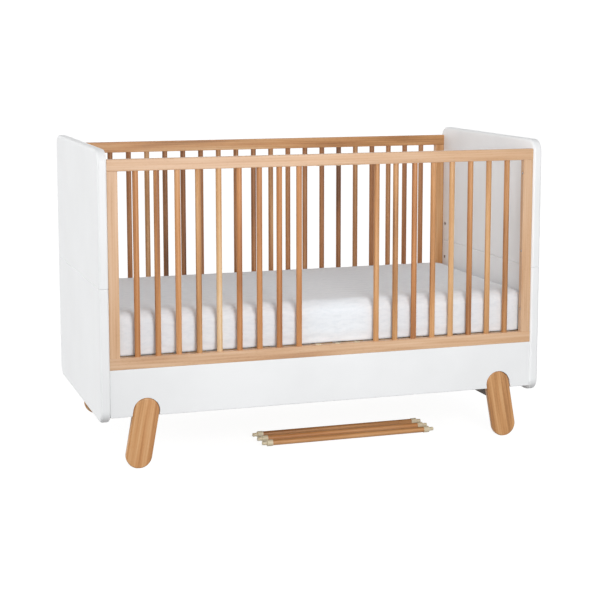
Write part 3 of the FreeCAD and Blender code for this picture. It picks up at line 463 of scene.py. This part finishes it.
@dataclass(frozen=True)
class ZincSteel(Finish):
    """Zinc-plated steel: a cool grey metal with small crystals that dull its reflections."""

    light: str = "#C9CCD0"
    dark: str = "#9EA3A8"
    crystal_mm: float = 1.4
    rolling_mm: float = 0.4
    roughness: tuple[float, float] = (0.25, 0.45)

    def paint(self, tree: bpy.types.NodeTree, shader: bpy.types.Node) -> None:
        """Crystals in tone and roughness, and a fine rolling grain in the bump."""
        place = add_node(tree, "TexCoord").outputs["Object"]
        cell = add_node(tree, "TexVoronoi", {"Vector": place, "Scale": 1 / (self.crystal_mm * MM)})
        share = add_node(tree, "SeparateColor", {"Color": cell.outputs["Color"]}).outputs["Blue"]
        colour = add_node(
            tree, "Mix", {0: share, 6: linear(self.dark), 7: linear(self.light)}, data_type="RGBA"
        ).outputs[2]
        gloss = add_node(tree, "MapRange", {
            "Value": share, "To Min": self.roughness[0], "To Max": self.roughness[1],
        }).outputs["Result"]
        fine = add_node(tree, "TexNoise", {
            "Vector": place, "Scale": 1 / (self.rolling_mm * MM), "Detail": 2.0,
        }).outputs["Fac"]
        bump = add_node(tree, "Bump", {"Height": fine, "Strength": 0.3, "Distance": 0.02 * MM})
        tree.links.new(colour, shader.inputs["Base Color"])
        tree.links.new(gloss, shader.inputs["Roughness"])
        tree.links.new(bump.outputs["Normal"], shader.inputs["Normal"])
        shader.inputs["Metallic"].default_value = 1.0


@dataclass(frozen=True)
class MouldedPlastic(Finish):
    """Cream polypropylene, moulded with a fine spark-eroded texture that gives a soft, waxy gloss."""

    light: str = "#E4D6BA"
    dark: str = "#D6C6A6"
    flow_mm: float = 9.0
    grit_mm: float = 0.6
    roughness: tuple[float, float] = (0.38, 0.50)
    ior: float = 1.49

    def paint(self, tree: bpy.types.NodeTree, shader: bpy.types.Node) -> None:
        """Flow marks in the tone and grit in the bump."""
        place = add_node(tree, "TexCoord").outputs["Object"]
        flow = add_node(tree, "TexNoise", {"Vector": place, "Scale": 1 / (self.flow_mm * MM)}).outputs["Fac"]
        colour = add_node(
            tree, "Mix", {0: flow, 6: linear(self.dark), 7: linear(self.light)}, data_type="RGBA"
        ).outputs[2]
        gloss = add_node(tree, "MapRange", {
            "Value": flow, "To Min": self.roughness[0], "To Max": self.roughness[1],
        }).outputs["Result"]
        grit = add_node(tree, "TexNoise", {"Vector": place, "Scale": 1 / (self.grit_mm * MM)}).outputs["Fac"]
        bump = add_node(tree, "Bump", {"Height": grit, "Strength": 0.35, "Distance": 0.04 * MM})
        tree.links.new(colour, shader.inputs["Base Color"])
        tree.links.new(gloss, shader.inputs["Roughness"])
        tree.links.new(bump.outputs["Normal"], shader.inputs["Normal"])
        shader.inputs["IOR"].default_value = self.ior
        shader.inputs["Subsurface Weight"].default_value = 0.1
        shader.inputs["Subsurface Radius"].default_value = (0.003, 0.002, 0.001)


@dataclass(frozen=True)
class BackdropPaper(Finish):
    """White studio paper, lit from behind as well, so that the shadows on it stay very pale."""

    colour: str = "#8F9091"
    shade: str = "#8A8B8C"
    cloud_mm: float = 700.0
    glow: float = 0.90

    def paint(self, tree: bpy.types.NodeTree, shader: bpy.types.Node) -> None:
        """A slow drift of tone, and a glow of its own."""
        place = add_node(tree, "TexCoord").outputs["Object"]
        cloud = add_node(tree, "TexNoise", {
            "Vector": place, "Scale": 1 / (self.cloud_mm * MM),
        }).outputs["Fac"]
        colour = add_node(
            tree, "Mix", {0: cloud, 6: linear(self.shade), 7: linear(self.colour)}, data_type="RGBA"
        ).outputs[2]
        tree.links.new(colour, shader.inputs["Base Color"])
        shader.inputs["Roughness"].default_value = 1.0
        shader.inputs["Specular IOR Level"].default_value = 0.0
        shader.inputs["Emission Color"].default_value = linear("#FFFFFF")
        shader.inputs["Emission Strength"].default_value = self.glow


# ------------------------------------------------------------------------------ mesh helpers
def mesh_piece(
    name: str, points: np.ndarray, faces: np.ndarray, finish: Finish, closed: bool = False
) -> bpy.types.Object:
    """Make a piece from whole arrays of points and four-cornered faces.

    Args:
        name: the piece's name.
        points: its points, one row of X, Y and Z each.
        faces: its faces, one row of four point numbers each, anticlockwise seen from outside.
        finish: the finish on all of it.
        closed: whether points that meet are welded, which closes poles, and the faces turned outwards.
    Returns:
        The new object, at the origin.
    """
    mesh = bpy.data.meshes.new(name)
    mesh.vertices.add(len(points))
    mesh.loops.add(faces.size)
    mesh.polygons.add(len(faces))
    mesh.vertices.foreach_set("co", points.astype(np.float32).ravel())
    mesh.loops.foreach_set("vertex_index", faces.astype(np.int32).ravel())
    mesh.polygons.foreach_set("loop_start", np.arange(len(faces), dtype=np.int32) * faces.shape[1])
    mesh.update(calc_edges=True)
    mesh.validate()
    if closed:
        work = bmesh.new()
        work.from_mesh(mesh)
        bmesh.ops.remove_doubles(work, verts=work.verts, dist=0.001 * MM)
        bmesh.ops.recalc_face_normals(work, faces=work.faces)
        work.to_mesh(mesh)
        work.free()
    mesh.materials.append(material_of(finish))
    mesh.shade_smooth()
    piece = bpy.data.objects.new(name, mesh)
    bpy.context.scene.collection.objects.link(piece)
    return piece


def grid_faces(rings: int, sides: int) -> np.ndarray:
    """The faces between neighbouring rings of points, each ring closed on itself.

    Args:
        rings: how many rings there are.
        sides: how many points each has.
    Returns:
        One row of four point numbers per face.
    """
    numbers = np.arange(rings * sides).reshape(rings, sides)
    after = np.roll(numbers, -1, axis=1)
    return np.stack([numbers[:-1], numbers[1:], after[1:], after[:-1]], axis=-1).reshape(-1, 4)


def points_of(piece: bpy.types.Object) -> np.ndarray:
    """A piece's points as an array of rows."""
    flat = np.empty(len(piece.data.vertices) * 3, np.float32)
    piece.data.vertices.foreach_get("co", flat)
    return flat.reshape(-1, 3).astype(float)


def set_points(piece: bpy.types.Object, points: np.ndarray) -> None:
    """Move a piece's points to the rows of an array."""
    piece.data.vertices.foreach_set("co", points.astype(np.float32).ravel())
    piece.data.update()


@dataclass
class SubAssembly:
    """A group of the crib's pieces that share a place and a make."""

    nodes: dict[str, bpy.types.Object]

    def dress(self, finish: Finish, *names: str) -> None:
        """Give CAD nodes a finish.

        Args:
            finish: the finish.
            names: the nodes that get it.
        """
        material = material_of(finish)
        for name in names:
            for place in self.nodes[name].material_slots:
                place.material = material
            log.info("%s: %s", name, material.name)


# ----------------------------------------------------------------------- boards, sides, legs
@dataclass
class EndBoards(SubAssembly):
    """The white end boards, each in a lower and an upper half, and the dowels between the halves."""

    lacquer: Finish = SatinLacquer()
    dowel_wood: Finish = PlainWood(Grain.ALONG_Z)

    def build(self) -> None:
        """Dress the boards and their dowels."""
        self.dress(self.lacquer, *(f"{side}_end_{part}" for side in SIDES for part in ("lower", "upper")))
        self.dress(self.dowel_wood, "board_dowels")


@dataclass
class SlattedSides(SubAssembly):
    """The two slatted side frames: rails, stiles, spindles and the sockets of the loose rungs."""

    spindle_width: float = 0.018
    spindle_places: int = 20
    sides_apart: float = 0.4

    def spindles_per_metre(self) -> float:
        """One over the spindles' pitch, from the clear length between the stiles."""
        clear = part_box("front_right_stile")[0][0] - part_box("front_left_stile")[1][0]
        return (self.spindle_places + 1) / (clear + self.spindle_width)

    def build(self) -> None:
        """Dress the frames, each spindle in a tone of its own."""
        sticks = (self.spindles_per_metre(), 1 / self.sides_apart)
        # The back takes darker woods than the front, frame and spindles alike: painted shade for the back,
        # which gets less light.
        woods = (("front", PaleBeech, LacqueredBeech), ("back", LacqueredBeech, ShadedBackBeech))
        for face, frame_wood, spindle_wood in woods:
            self.dress(frame_wood(Grain.ALONG_X), f"{face}_top_rail", f"{face}_bottom_rail")
            self.dress(frame_wood(Grain.ALONG_Z), *(f"{face}_{side}_stile" for side in SIDES))
            self.dress(spindle_wood(Grain.ALONG_Z, sticks), *(f"{face}_spindles_{side}" for side in SIDES))
        self.dress(PlainWood(Grain.ALONG_Z), "frame_dowels")
        self.dress(MouldedPlastic(), "lower_rung_sockets", "upper_rung_sockets")


@dataclass
class Underframe(SubAssembly):
    """What carries the crib: the aprons, the crossbeams, the splayed legs and their brackets."""

    grains: tuple[Grain, Grain] = (Grain.LEFT_LEG, Grain.RIGHT_LEG)

    def build(self) -> None:
        """Dress the aprons, beams, legs, brackets and cam fittings."""
        self.dress(SatinLacquer(), *(f"{face}_apron" for face in FACES))
        # The crossbeams' near-black beech is painted shade for the deep shadow under the crib.
        self.dress(ShadeDarkenedBeech(Grain.ALONG_Y), *(f"{side}_crossbeam" for side in SIDES))
        for side, grain in zip(SIDES, self.grains):
            self.dress(LacqueredBeech(grain), *(f"{face}_{side}_leg" for face in FACES))
        self.dress(ZincSteel(), "leg_brackets", "leg_screws", "apron_cams", "apron_cam_bolts")


@dataclass
class SlattedBase(SubAssembly):
    """The base under the mattress: a softwood frame with slats across it."""

    along: Finish = PlainWood(Grain.ALONG_X)
    across: Finish = PlainWood(Grain.ALONG_Y)

    def build(self) -> None:
        """Dress the rails, the slats and the dowels."""
        self.dress(self.along, "base_front_rail", "base_middle_rail", "base_back_rail", "base_dowels")
        self.dress(self.across, "base_left_rail", "base_right_rail", "base_slats")


@dataclass
class LooseRungs(SubAssembly):
    """The three rungs that lie under the crib, each with two caps, a sprung peg and its spring."""

    pitch: float = 0.0555

    def build(self) -> None:
        """Dress the rungs, each rod in a tone of its own."""
        rods = LacqueredBeech(Grain.ALONG_X, (0.0, 1 / self.pitch))
        for number in RUNGS:
            self.dress(rods, f"rung_{number}_rod")
            plastic = (f"rung_{number}_{part}" for part in ("fixed_cap", "sprung_cap", "peg"))
            self.dress(MouldedPlastic(), *plastic)
            self.dress(ZincSteel(), f"rung_{number}_spring")


@dataclass
class Inserts(SubAssembly):
    """The threaded steel inserts in the boards, which the frame's and the base's bolts screw into."""

    steel: Finish = ZincSteel()

    def build(self) -> None:
        """Dress both rows of inserts."""
        self.dress(self.steel, "frame_inserts", "base_inserts")


# ----------------------------------------------------------------------------------- the bolts
class Recess(Enum):
    """The hole for a driver in a bolt's head."""

    HEXAGON = "hexagon"
    CROSS = "cross"

    def outline(self, turns: np.ndarray) -> np.ndarray:
        """The hole's reach at each angle, as a share of its widest.

        A hexagon's side lies at cos 30 / cos of the angle off the side's middle. A cross reaches
        out by a high power of the cosine of twice the angle.

        Args:
            turns: angles in radians.
        Returns:
            Shares from 0 to 1.
        """
        if self is Recess.HEXAGON:
            off_middle = np.mod(turns, math.pi / 3) - math.pi / 6
            return math.cos(math.pi / 6) / np.cos(off_middle)
        return 0.34 + 0.66 * np.abs(np.cos(2 * turns)) ** 5


@dataclass
class Bolts(SubAssembly):
    """Steel bolts of one kind: a round head with a driver's recess on a plain shank.

    All of them lie along X, two mirrored rows at each side of the crib.
    """

    node: str
    recess: Recess
    heights: tuple[float, ...]
    head_radius: float
    head_height: float
    shank_radius: float
    head_from_middle: float
    tip_from_middle: float
    recess_share: float = 0.62
    recess_depth_share: float = 0.6
    edge: float = 0.0006
    sides: int = 48
    sharp_angle: float = 35.0

    def profile(self) -> np.ndarray:
        """The rings from the recess's floor to the shank's tip.

        Returns:
            For each ring its radius, its place along the bolt from the head's top, and how far it
            follows the recess's outline rather than a circle.
        """
        hole = self.head_radius * self.recess_share
        floor = self.head_height * self.recess_depth_share
        length = self.tip_from_middle - self.head_from_middle + self.head_height
        return np.array([
            (0.0, floor * 1.1, 1.0),
            (hole * 0.90, floor, 1.0),
            (hole * 0.92, floor * 0.96, 1.0),
            (hole, 0.06 * floor, 1.0),
            (hole * 1.04, 0.0, 1.0),
            ((hole + self.head_radius) / 2, 0.0, 0.0),
            (self.head_radius - self.edge, 0.0, 0.0),
            (self.head_radius - self.edge * 0.3, self.edge * 0.3, 0.0),
            (self.head_radius, self.edge, 0.0),
            (self.head_radius, self.head_height - self.edge * 0.3, 0.0),
            (self.head_radius - self.edge * 0.3, self.head_height, 0.0),
            (self.shank_radius, self.head_height, 0.0),
            (self.shank_radius, length - self.edge, 0.0),
            (self.shank_radius - self.edge, length, 0.0),
            (0.0, length, 0.0),
        ])

    def one(self) -> np.ndarray:
        """One bolt's points, head at the origin and shank along +Z.

        Each ring's radius is blended from a circle to the recess's outline by the ring's share.
        """
        radius, along, share = self.profile().T
        turns = np.linspace(0, 2 * math.pi, self.sides, endpoint=False)
        shape = 1 + share[:, None] * (self.recess.outline(turns)[None, :] - 1)
        reach = radius[:, None] * shape
        rings = [reach * np.cos(turns), reach * np.sin(turns), np.broadcast_to(along[:, None], reach.shape)]
        return np.stack(rings, axis=-1).reshape(-1, 3)

    def build(self) -> bpy.types.Object:
        """Place a bolt at every height, side and face, and let them stand for the CAD node."""
        low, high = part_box(self.node)
        one = self.one()
        faces = grid_faces(len(self.profile()), self.sides)
        all_points = []
        all_faces = []
        for side in (-1, 1):
            for y in (low[1] + self.head_radius, high[1] - self.head_radius):
                for height in self.heights:
                    start = side * (self.head_from_middle - self.head_height)
                    lying = np.stack(
                        [side * one[:, 2] + start, one[:, 1] + y, height - side * one[:, 0]], axis=-1
                    )
                    all_faces.append(faces + len(all_points) * len(one))
                    all_points.append(lying)
        points = np.concatenate(all_points)
        piece = mesh_piece(
            self.node + "_turned", points, np.concatenate(all_faces), ZincSteel(), closed=True
        )
        piece.data.set_sharp_from_angle(angle=math.radians(self.sharp_angle))
        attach(piece, "crib_frame")
        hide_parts(self.node)
        log.info("%s: %d bolts, %d faces", piece.name, len(all_points), len(piece.data.polygons))
        return piece


def frame_bolts(nodes: dict[str, bpy.types.Object]) -> Bolts:
    """The hexagon-socket bolts through the stiles, whose heads lie sunk in their counterbores."""
    low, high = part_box("frame_bolts")
    radius = 0.005
    above_joint = 0.054
    sink = 0.0065
    return Bolts(
        nodes,
        node="frame_bolts",
        recess=Recess.HEXAGON,
        heights=(low[2] + radius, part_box("left_end_lower")[1][2] + above_joint, high[2] - radius),
        head_radius=radius,
        head_height=0.005,
        shank_radius=0.003,
        head_from_middle=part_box("front_right_stile")[0][0] + sink,
        tip_from_middle=high[0],
    )


def base_bolts(nodes: dict[str, bpy.types.Object]) -> Bolts:
    """The four shoulder bolts that the base's end rails hang on."""
    low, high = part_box("base_bolts")
    radius = 0.008
    play = 0.0003
    return Bolts(
        nodes,
        node="base_bolts",
        recess=Recess.CROSS,
        heights=(low[2] + radius,),
        head_radius=radius,
        head_height=0.005,
        shank_radius=0.004,
        head_from_middle=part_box("base_right_rail")[0][0] - play,
        tip_from_middle=high[0],
    )


# ------------------------------------------------------------------------------ the mattress
@dataclass
class Mattress(SubAssembly):
    """A foam mattress in a quilted knit cover, crowned a little and drawn in between its corners."""

    spacing: float = 0.0105
    play: float = 0.0015
    corner_radius: float = 0.045
    upper_edge_radius: float = 0.028
    lower_edge_radius: float = 0.008
    crown: float = 0.005
    draw_in: float = 0.0025
    swell: float = 0.004
    free_above: float = 0.045
    quilt_pitch: float = 0.036
    quilt_wave: float = 0.007
    quilt_wave_length: float = 0.130
    quilt_depth: float = 0.0016
    pressure: float = 0.35
    frames: int = 20
    fill: float = 0.9
    low: np.ndarray = field(init=False)
    high: np.ndarray = field(init=False)

    def __post_init__(self) -> None:
        """Read the space that the CAD model leaves for the mattress."""
        low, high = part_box("mattress")
        self.low = np.array(low)
        self.high = np.array(high)

    def build(self) -> bpy.types.Object:
        points, faces, cloth = self.shell()
        cover = mesh_piece("mattress_cover", self.rounded(points), faces, KnitCover())
        layer = cover.data.uv_layers.new(name="Cloth")
        layer.data.foreach_set("uv", cloth.astype(np.float32).ravel())
        self.inflate(cover)
        self.subdivide(cover)
        self.quilt(cover)
        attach(cover, "mattress")
        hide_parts("mattress")
        log.info("mattress_cover: %d faces", len(cover.data.polygons))
        return cover

    def shell(self) -> tuple[np.ndarray, np.ndarray, np.ndarray]:
        """A closed box of even squares.

        The points are the outer ones of a lattice that fills the box; each side of the box is the
        square grid of lattice points on it.

        Returns:
            The points, the faces and the cloth coordinates of each face's corners in metres.
        """
        size = self.high - self.low
        counts = np.maximum(np.round(size / self.spacing).astype(int), 2)
        numbers = np.arange(np.prod(counts + 1)).reshape(counts + 1)
        steps = np.stack(np.meshgrid(*[np.arange(count + 1) for count in counts], indexing="ij"), axis=-1)
        lattice = (self.low + steps / counts * size).reshape(-1, 3)
        faces = []
        corners = []
        for axis in range(3):
            across, up = [other for other in range(3) if other != axis]
            for end in (0, -1):
                sheet = np.take(numbers, end, axis=axis)
                square = np.stack([sheet[:-1, :-1], sheet[1:, :-1], sheet[1:, 1:], sheet[:-1, 1:]], axis=-1)
                # a grid in (Y, Z) or (X, Y) faces the positive way, one in (X, Z) the negative way
                if (end == 0) != (axis == 1):
                    square = square[..., ::-1]
                square = square.reshape(-1, 4)
                faces.append(square)
                corners.append(lattice[square][..., [across, up]].reshape(-1, 2))
        joined = np.concatenate(faces)
        used, renumbered = np.unique(joined, return_inverse=True)
        return lattice[used], renumbered.reshape(joined.shape), np.concatenate(corners)

    def rounded(self, points: np.ndarray) -> np.ndarray:
        """Round the box's edges and crown its top.

        Every point moves to the nearest point of a smaller block, whose upright corners are round,
        and from there straight back out by the edge radius. The top then rises by the crown times
        (1 - x^2)(1 - y^2), and the sides draw in by the same kind of curve along their length.

        Args:
            points: points on the box.
        Returns:
            The same points on the rounded block.
        """
        middle = (self.low + self.high) / 2
        half = (self.high - self.low) / 2 - self.play
        out = points - middle
        edge = np.where(out[:, 2] > 0, self.upper_edge_radius, self.lower_edge_radius)
        flat = np.clip(out[:, :2], -(half[:2] - self.corner_radius), half[:2] - self.corner_radius)
        away = out[:, :2] - flat
        reach = np.linalg.norm(away, axis=1)
        core = np.empty_like(out)
        kept = np.minimum(1.0, (self.corner_radius - edge) / np.maximum(reach, 1e-9))
        core[:, :2] = flat + away * kept[:, None]
        core[:, 2] = np.clip(out[:, 2], edge - half[2], half[2] - edge)
        outward = out - core
        outward /= np.maximum(np.linalg.norm(outward, axis=1, keepdims=True), 1e-9)
        moved = core + outward * edge[:, None]
        share = moved / half
        belly = np.clip(1 - share[:, :2] ** 2, 0, 1)
        moved[:, 2] += np.where(out[:, 2] > 0, self.crown, 0.0) * belly[:, 0] * belly[:, 1]
        for axis, other in ((0, 1), (1, 0)):
            inwards = self.draw_in * belly[:, other] * np.abs(share[:, axis]) ** 6
            moved[:, axis] -= np.sign(moved[:, axis]) * inwards
        return moved + middle

    def inflate(self, cover: bpy.types.Object) -> None:
        """Let the cover swell under a slight pressure, as foam fills it, and cap how far it moves.

        The lowest part, which the mattress's weight presses on the slats, keeps its shape.

        Args:
            cover: the cover's object, whose points are changed.
        """
        start = points_of(cover)
        cloth = cover.modifiers.new("Swell", "CLOTH")
        cloth.settings.quality = 5
        cloth.settings.mass = 0.4
        cloth.settings.tension_stiffness = 25
        cloth.settings.compression_stiffness = 25
        cloth.settings.bending_stiffness = 2
        cloth.settings.use_pressure = True
        cloth.settings.uniform_pressure_force = self.pressure
        cloth.settings.effector_weights.gravity = 0
        cloth.point_cache.frame_start = 1
        cloth.point_cache.frame_end = self.frames
        scene = bpy.context.scene
        for number in range(1, self.frames + 1):
            scene.frame_set(number)
        graph = bpy.context.evaluated_depsgraph_get()
        flat = np.empty(len(start) * 3, np.float32)
        cover.evaluated_get(graph).data.vertices.foreach_get("co", flat)
        cover.modifiers.remove(cloth)
        scene.frame_set(1)
        shift = flat.reshape(-1, 3) - start
        length = np.maximum(np.linalg.norm(shift, axis=1, keepdims=True), 1e-9)
        log.info("mattress_cover: swelled by up to %.1f mm before the cap", length.max() / MM)
        resting = np.clip((start[:, 2:] - self.low[2]) / self.free_above, 0, 1)
        moved = start + shift * np.minimum(1.0, self.swell / length) * resting
        set_points(cover, self.kept_inside(moved))

    def kept_inside(self, points: np.ndarray) -> np.ndarray:
        """Hold points inside the mattress's space, apart from its free top."""
        roof = self.high + np.array([0.0, 0.0, self.crown + self.swell])
        return np.clip(points, self.low, roof)

    def subdivide(self, cover: bpy.types.Object) -> None:
        """Split every face in four, smoothly, so that the quilting has enough points."""
        finer = cover.modifiers.new("Finer", "SUBSURF")
        finer.levels = 1
        finer.render_levels = 1
        graph = bpy.context.evaluated_depsgraph_get()
        cover.data = bpy.data.meshes.new_from_object(cover.evaluated_get(graph))
        cover.modifiers.clear()

    def quilt(self, cover: bpy.types.Object) -> None:
        """Press the quilting lines into the cover.

        The three pairs of sides are blended by how far the cover faces each.

        Args:
            cover: the cover's object, whose points are changed.
        """
        points = points_of(cover)
        flat = np.empty(len(points) * 3, np.float32)
        cover.data.vertices.foreach_get("normal", flat)
        normals = flat.reshape(-1, 3).astype(float)
        facing = np.abs(normals) ** 4
        facing /= facing.sum(axis=1, keepdims=True)
        height = points - self.low
        rows = (
            self.quilting(points[:, 1], height[:, 2]),
            self.quilting(points[:, 0], height[:, 2]),
            self.quilting(points[:, 0], height[:, 1]),
        )
        depth = sum(facing[:, axis] * rows[axis] for axis in range(3))
        set_points(cover, self.kept_inside(points + normals * depth[:, None]))

    def quilting(self, along: np.ndarray, across: np.ndarray) -> np.ndarray:
        """How far the cover lies above its mean surface.

        The height is the square root of |cos| of the distance across the lines, which swing to and
        fro as a sine along them.

        Args:
            along: coordinates along the quilting lines of one side of the cover.
            across: coordinates across them.
        Returns:
            Heights in metres.
        """
        swing = self.quilt_wave * np.sin(2 * math.pi * along / self.quilt_wave_length)
        puff = np.sqrt(np.abs(np.cos(math.pi * (across + swing) / self.quilt_pitch)))
        return self.quilt_depth * (puff - 0.8)


# -------------------------------------------------------------------------------- the studio
@dataclass
class Studio:
    """A pale floor, soft light from all round, two soft lamps and the camera."""

    floor_radius: float = 60.0
    floor_rings: int = 25
    floor_sides: int = 96
    floor_drop: float = 0.0005
    ground_light: float = 0.12
    horizon_light: float = 1.25
    zenith_light: float = 0.40
    front_share: float = 0.55
    camera_place: tuple[float, float, float] = (-1.5388, -4.7912, 1.3155)
    camera_looks_right: float = 18.246
    camera_looks_down: float = 7.715
    lens_mm: float = 90.31
    sensor_mm: float = 36.0
    lens_shift: tuple[float, float] = (-0.0076, -0.10)

    def build(self) -> None:
        """Set up everything round the crib."""
        self.floor()
        self.sky()
        self.lamp("key_light", azimuth=2.0, height=1.05, distance=2.7, width=1.2, power=36.0)
        self.lamp("left_fill", azimuth=-80.0, height=1.2, distance=4.5, width=3.0, power=62.0)
        self.camera()
        bpy.context.scene.view_settings.view_transform = "Standard"

    def floor(self) -> None:
        """A wide disc: rings of points whose spacing grows outwards with the cube of their number.

        It is white for the eye and in reflections, but throws no light back at the crib, whose
        underside is left to the light from below the horizon.
        """
        radii = np.linspace(0.0, 1.0, self.floor_rings)[1:] ** 3 * self.floor_radius
        turns = np.linspace(0, 2 * math.pi, self.floor_sides, endpoint=False)
        ring, turn = np.meshgrid(np.concatenate([[0.0], radii]), turns, indexing="ij")
        level = np.full_like(ring, -self.floor_drop)
        points = np.stack([ring * np.cos(turn), ring * np.sin(turn), level], axis=-1)
        faces = grid_faces(len(ring), self.floor_sides)
        floor = mesh_piece("floor", points.reshape(-1, 3), faces, BackdropPaper())
        floor.visible_diffuse = False
        floor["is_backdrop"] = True

    def sky(self) -> None:
        """White walls all round that darken towards the ceiling and below the horizon."""
        world = bpy.data.worlds.new("Studio")
        world.use_nodes = True
        tree = world.node_tree
        tree.nodes.clear()
        way = add_node(tree, "TexCoord").outputs["Generated"]
        parts = add_node(tree, "SeparateXYZ", {"Vector": way})
        up = parts.outputs["Z"]
        above = add_node(tree, "MapRange", {
            "Value": up, "From Min": 0.25, "From Max": 0.8,
            "To Min": self.horizon_light, "To Max": self.zenith_light,
        }).outputs["Result"]
        below = add_node(tree, "MapRange", {
            "Value": up, "From Min": -0.28, "From Max": 0.02, "To Min": self.ground_light, "To Max": 1.0,
        }).outputs["Result"]
        front = add_node(tree, "MapRange", {
            "Value": parts.outputs["Y"], "From Min": -0.9, "From Max": 0.0,
            "To Min": self.front_share, "To Max": 1.0,
        }).outputs["Result"]
        light = add_node(tree, "Math", {0: above, 1: below}, operation="MULTIPLY").outputs["Value"]
        light = add_node(tree, "Math", {0: light, 1: front}, operation="MULTIPLY").outputs["Value"]
        back = add_node(tree, "Background", {"Color": linear("#FFFFFF"), "Strength": light})
        add_node(tree, "OutputWorld", {"Surface": back.outputs["Background"]})
        bpy.context.scene.world = world

    def lamp(
        self, name: str, azimuth: float, height: float, distance: float, width: float, power: float
    ) -> None:
        """Hang a square soft light that faces the crib's middle.

        Args:
            name: the light's name.
            azimuth: degrees to the right of the crib's front.
            height: its middle's height.
            distance: how far it stands from the crib's middle.
            width: its side.
            power: watts.
        """
        lamp = bpy.data.lights.new(name, "AREA")
        lamp.shape = "SQUARE"
        lamp.size = width
        lamp.energy = power
        holder = bpy.data.objects.new(name, lamp)
        turn = math.radians(azimuth)
        holder.location = (distance * math.sin(turn), -distance * math.cos(turn), height)
        low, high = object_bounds()
        away = holder.location - (low + high) / 2
        holder.rotation_euler = away.to_track_quat("Z", "Y").to_euler()
        holder.visible_camera = False
        bpy.context.scene.collection.objects.link(holder)

    def camera(self) -> None:
        """A long lens at eye height, to the left of the crib's front, looking slightly down."""
        lens = bpy.data.cameras.new("camera")
        lens.lens = self.lens_mm
        lens.sensor_width = self.sensor_mm
        lens.shift_x, lens.shift_y = self.lens_shift
        lens.clip_end = 4 * self.floor_radius
        holder = bpy.data.objects.new("camera", lens)
        holder.location = Vector(self.camera_place)
        holder.rotation_euler = (
            math.radians(90 - self.camera_looks_down), 0.0, math.radians(-self.camera_looks_right)
        )
        bpy.context.scene.collection.objects.link(holder)
        bpy.context.scene.camera = holder


# ---------------------------------------------------------------------------- the whole crib
def main() -> None:
    """Load the frame, build and dress every sub-assembly, the bolts and the mattress, and set up the studio.
    """
    logging.basicConfig(level=logging.INFO, format="%(name)s: %(message)s")
    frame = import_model()
    nodes = frame["nodes"]
    for group in (EndBoards, SlattedSides, Underframe, SlattedBase, LooseRungs, Inserts):
        group(nodes).build()
    for made in (frame_bolts(nodes), base_bolts(nodes), Mattress(nodes)):
        made.build()
    Studio().build()


if __name__ == "__main__":
    main()
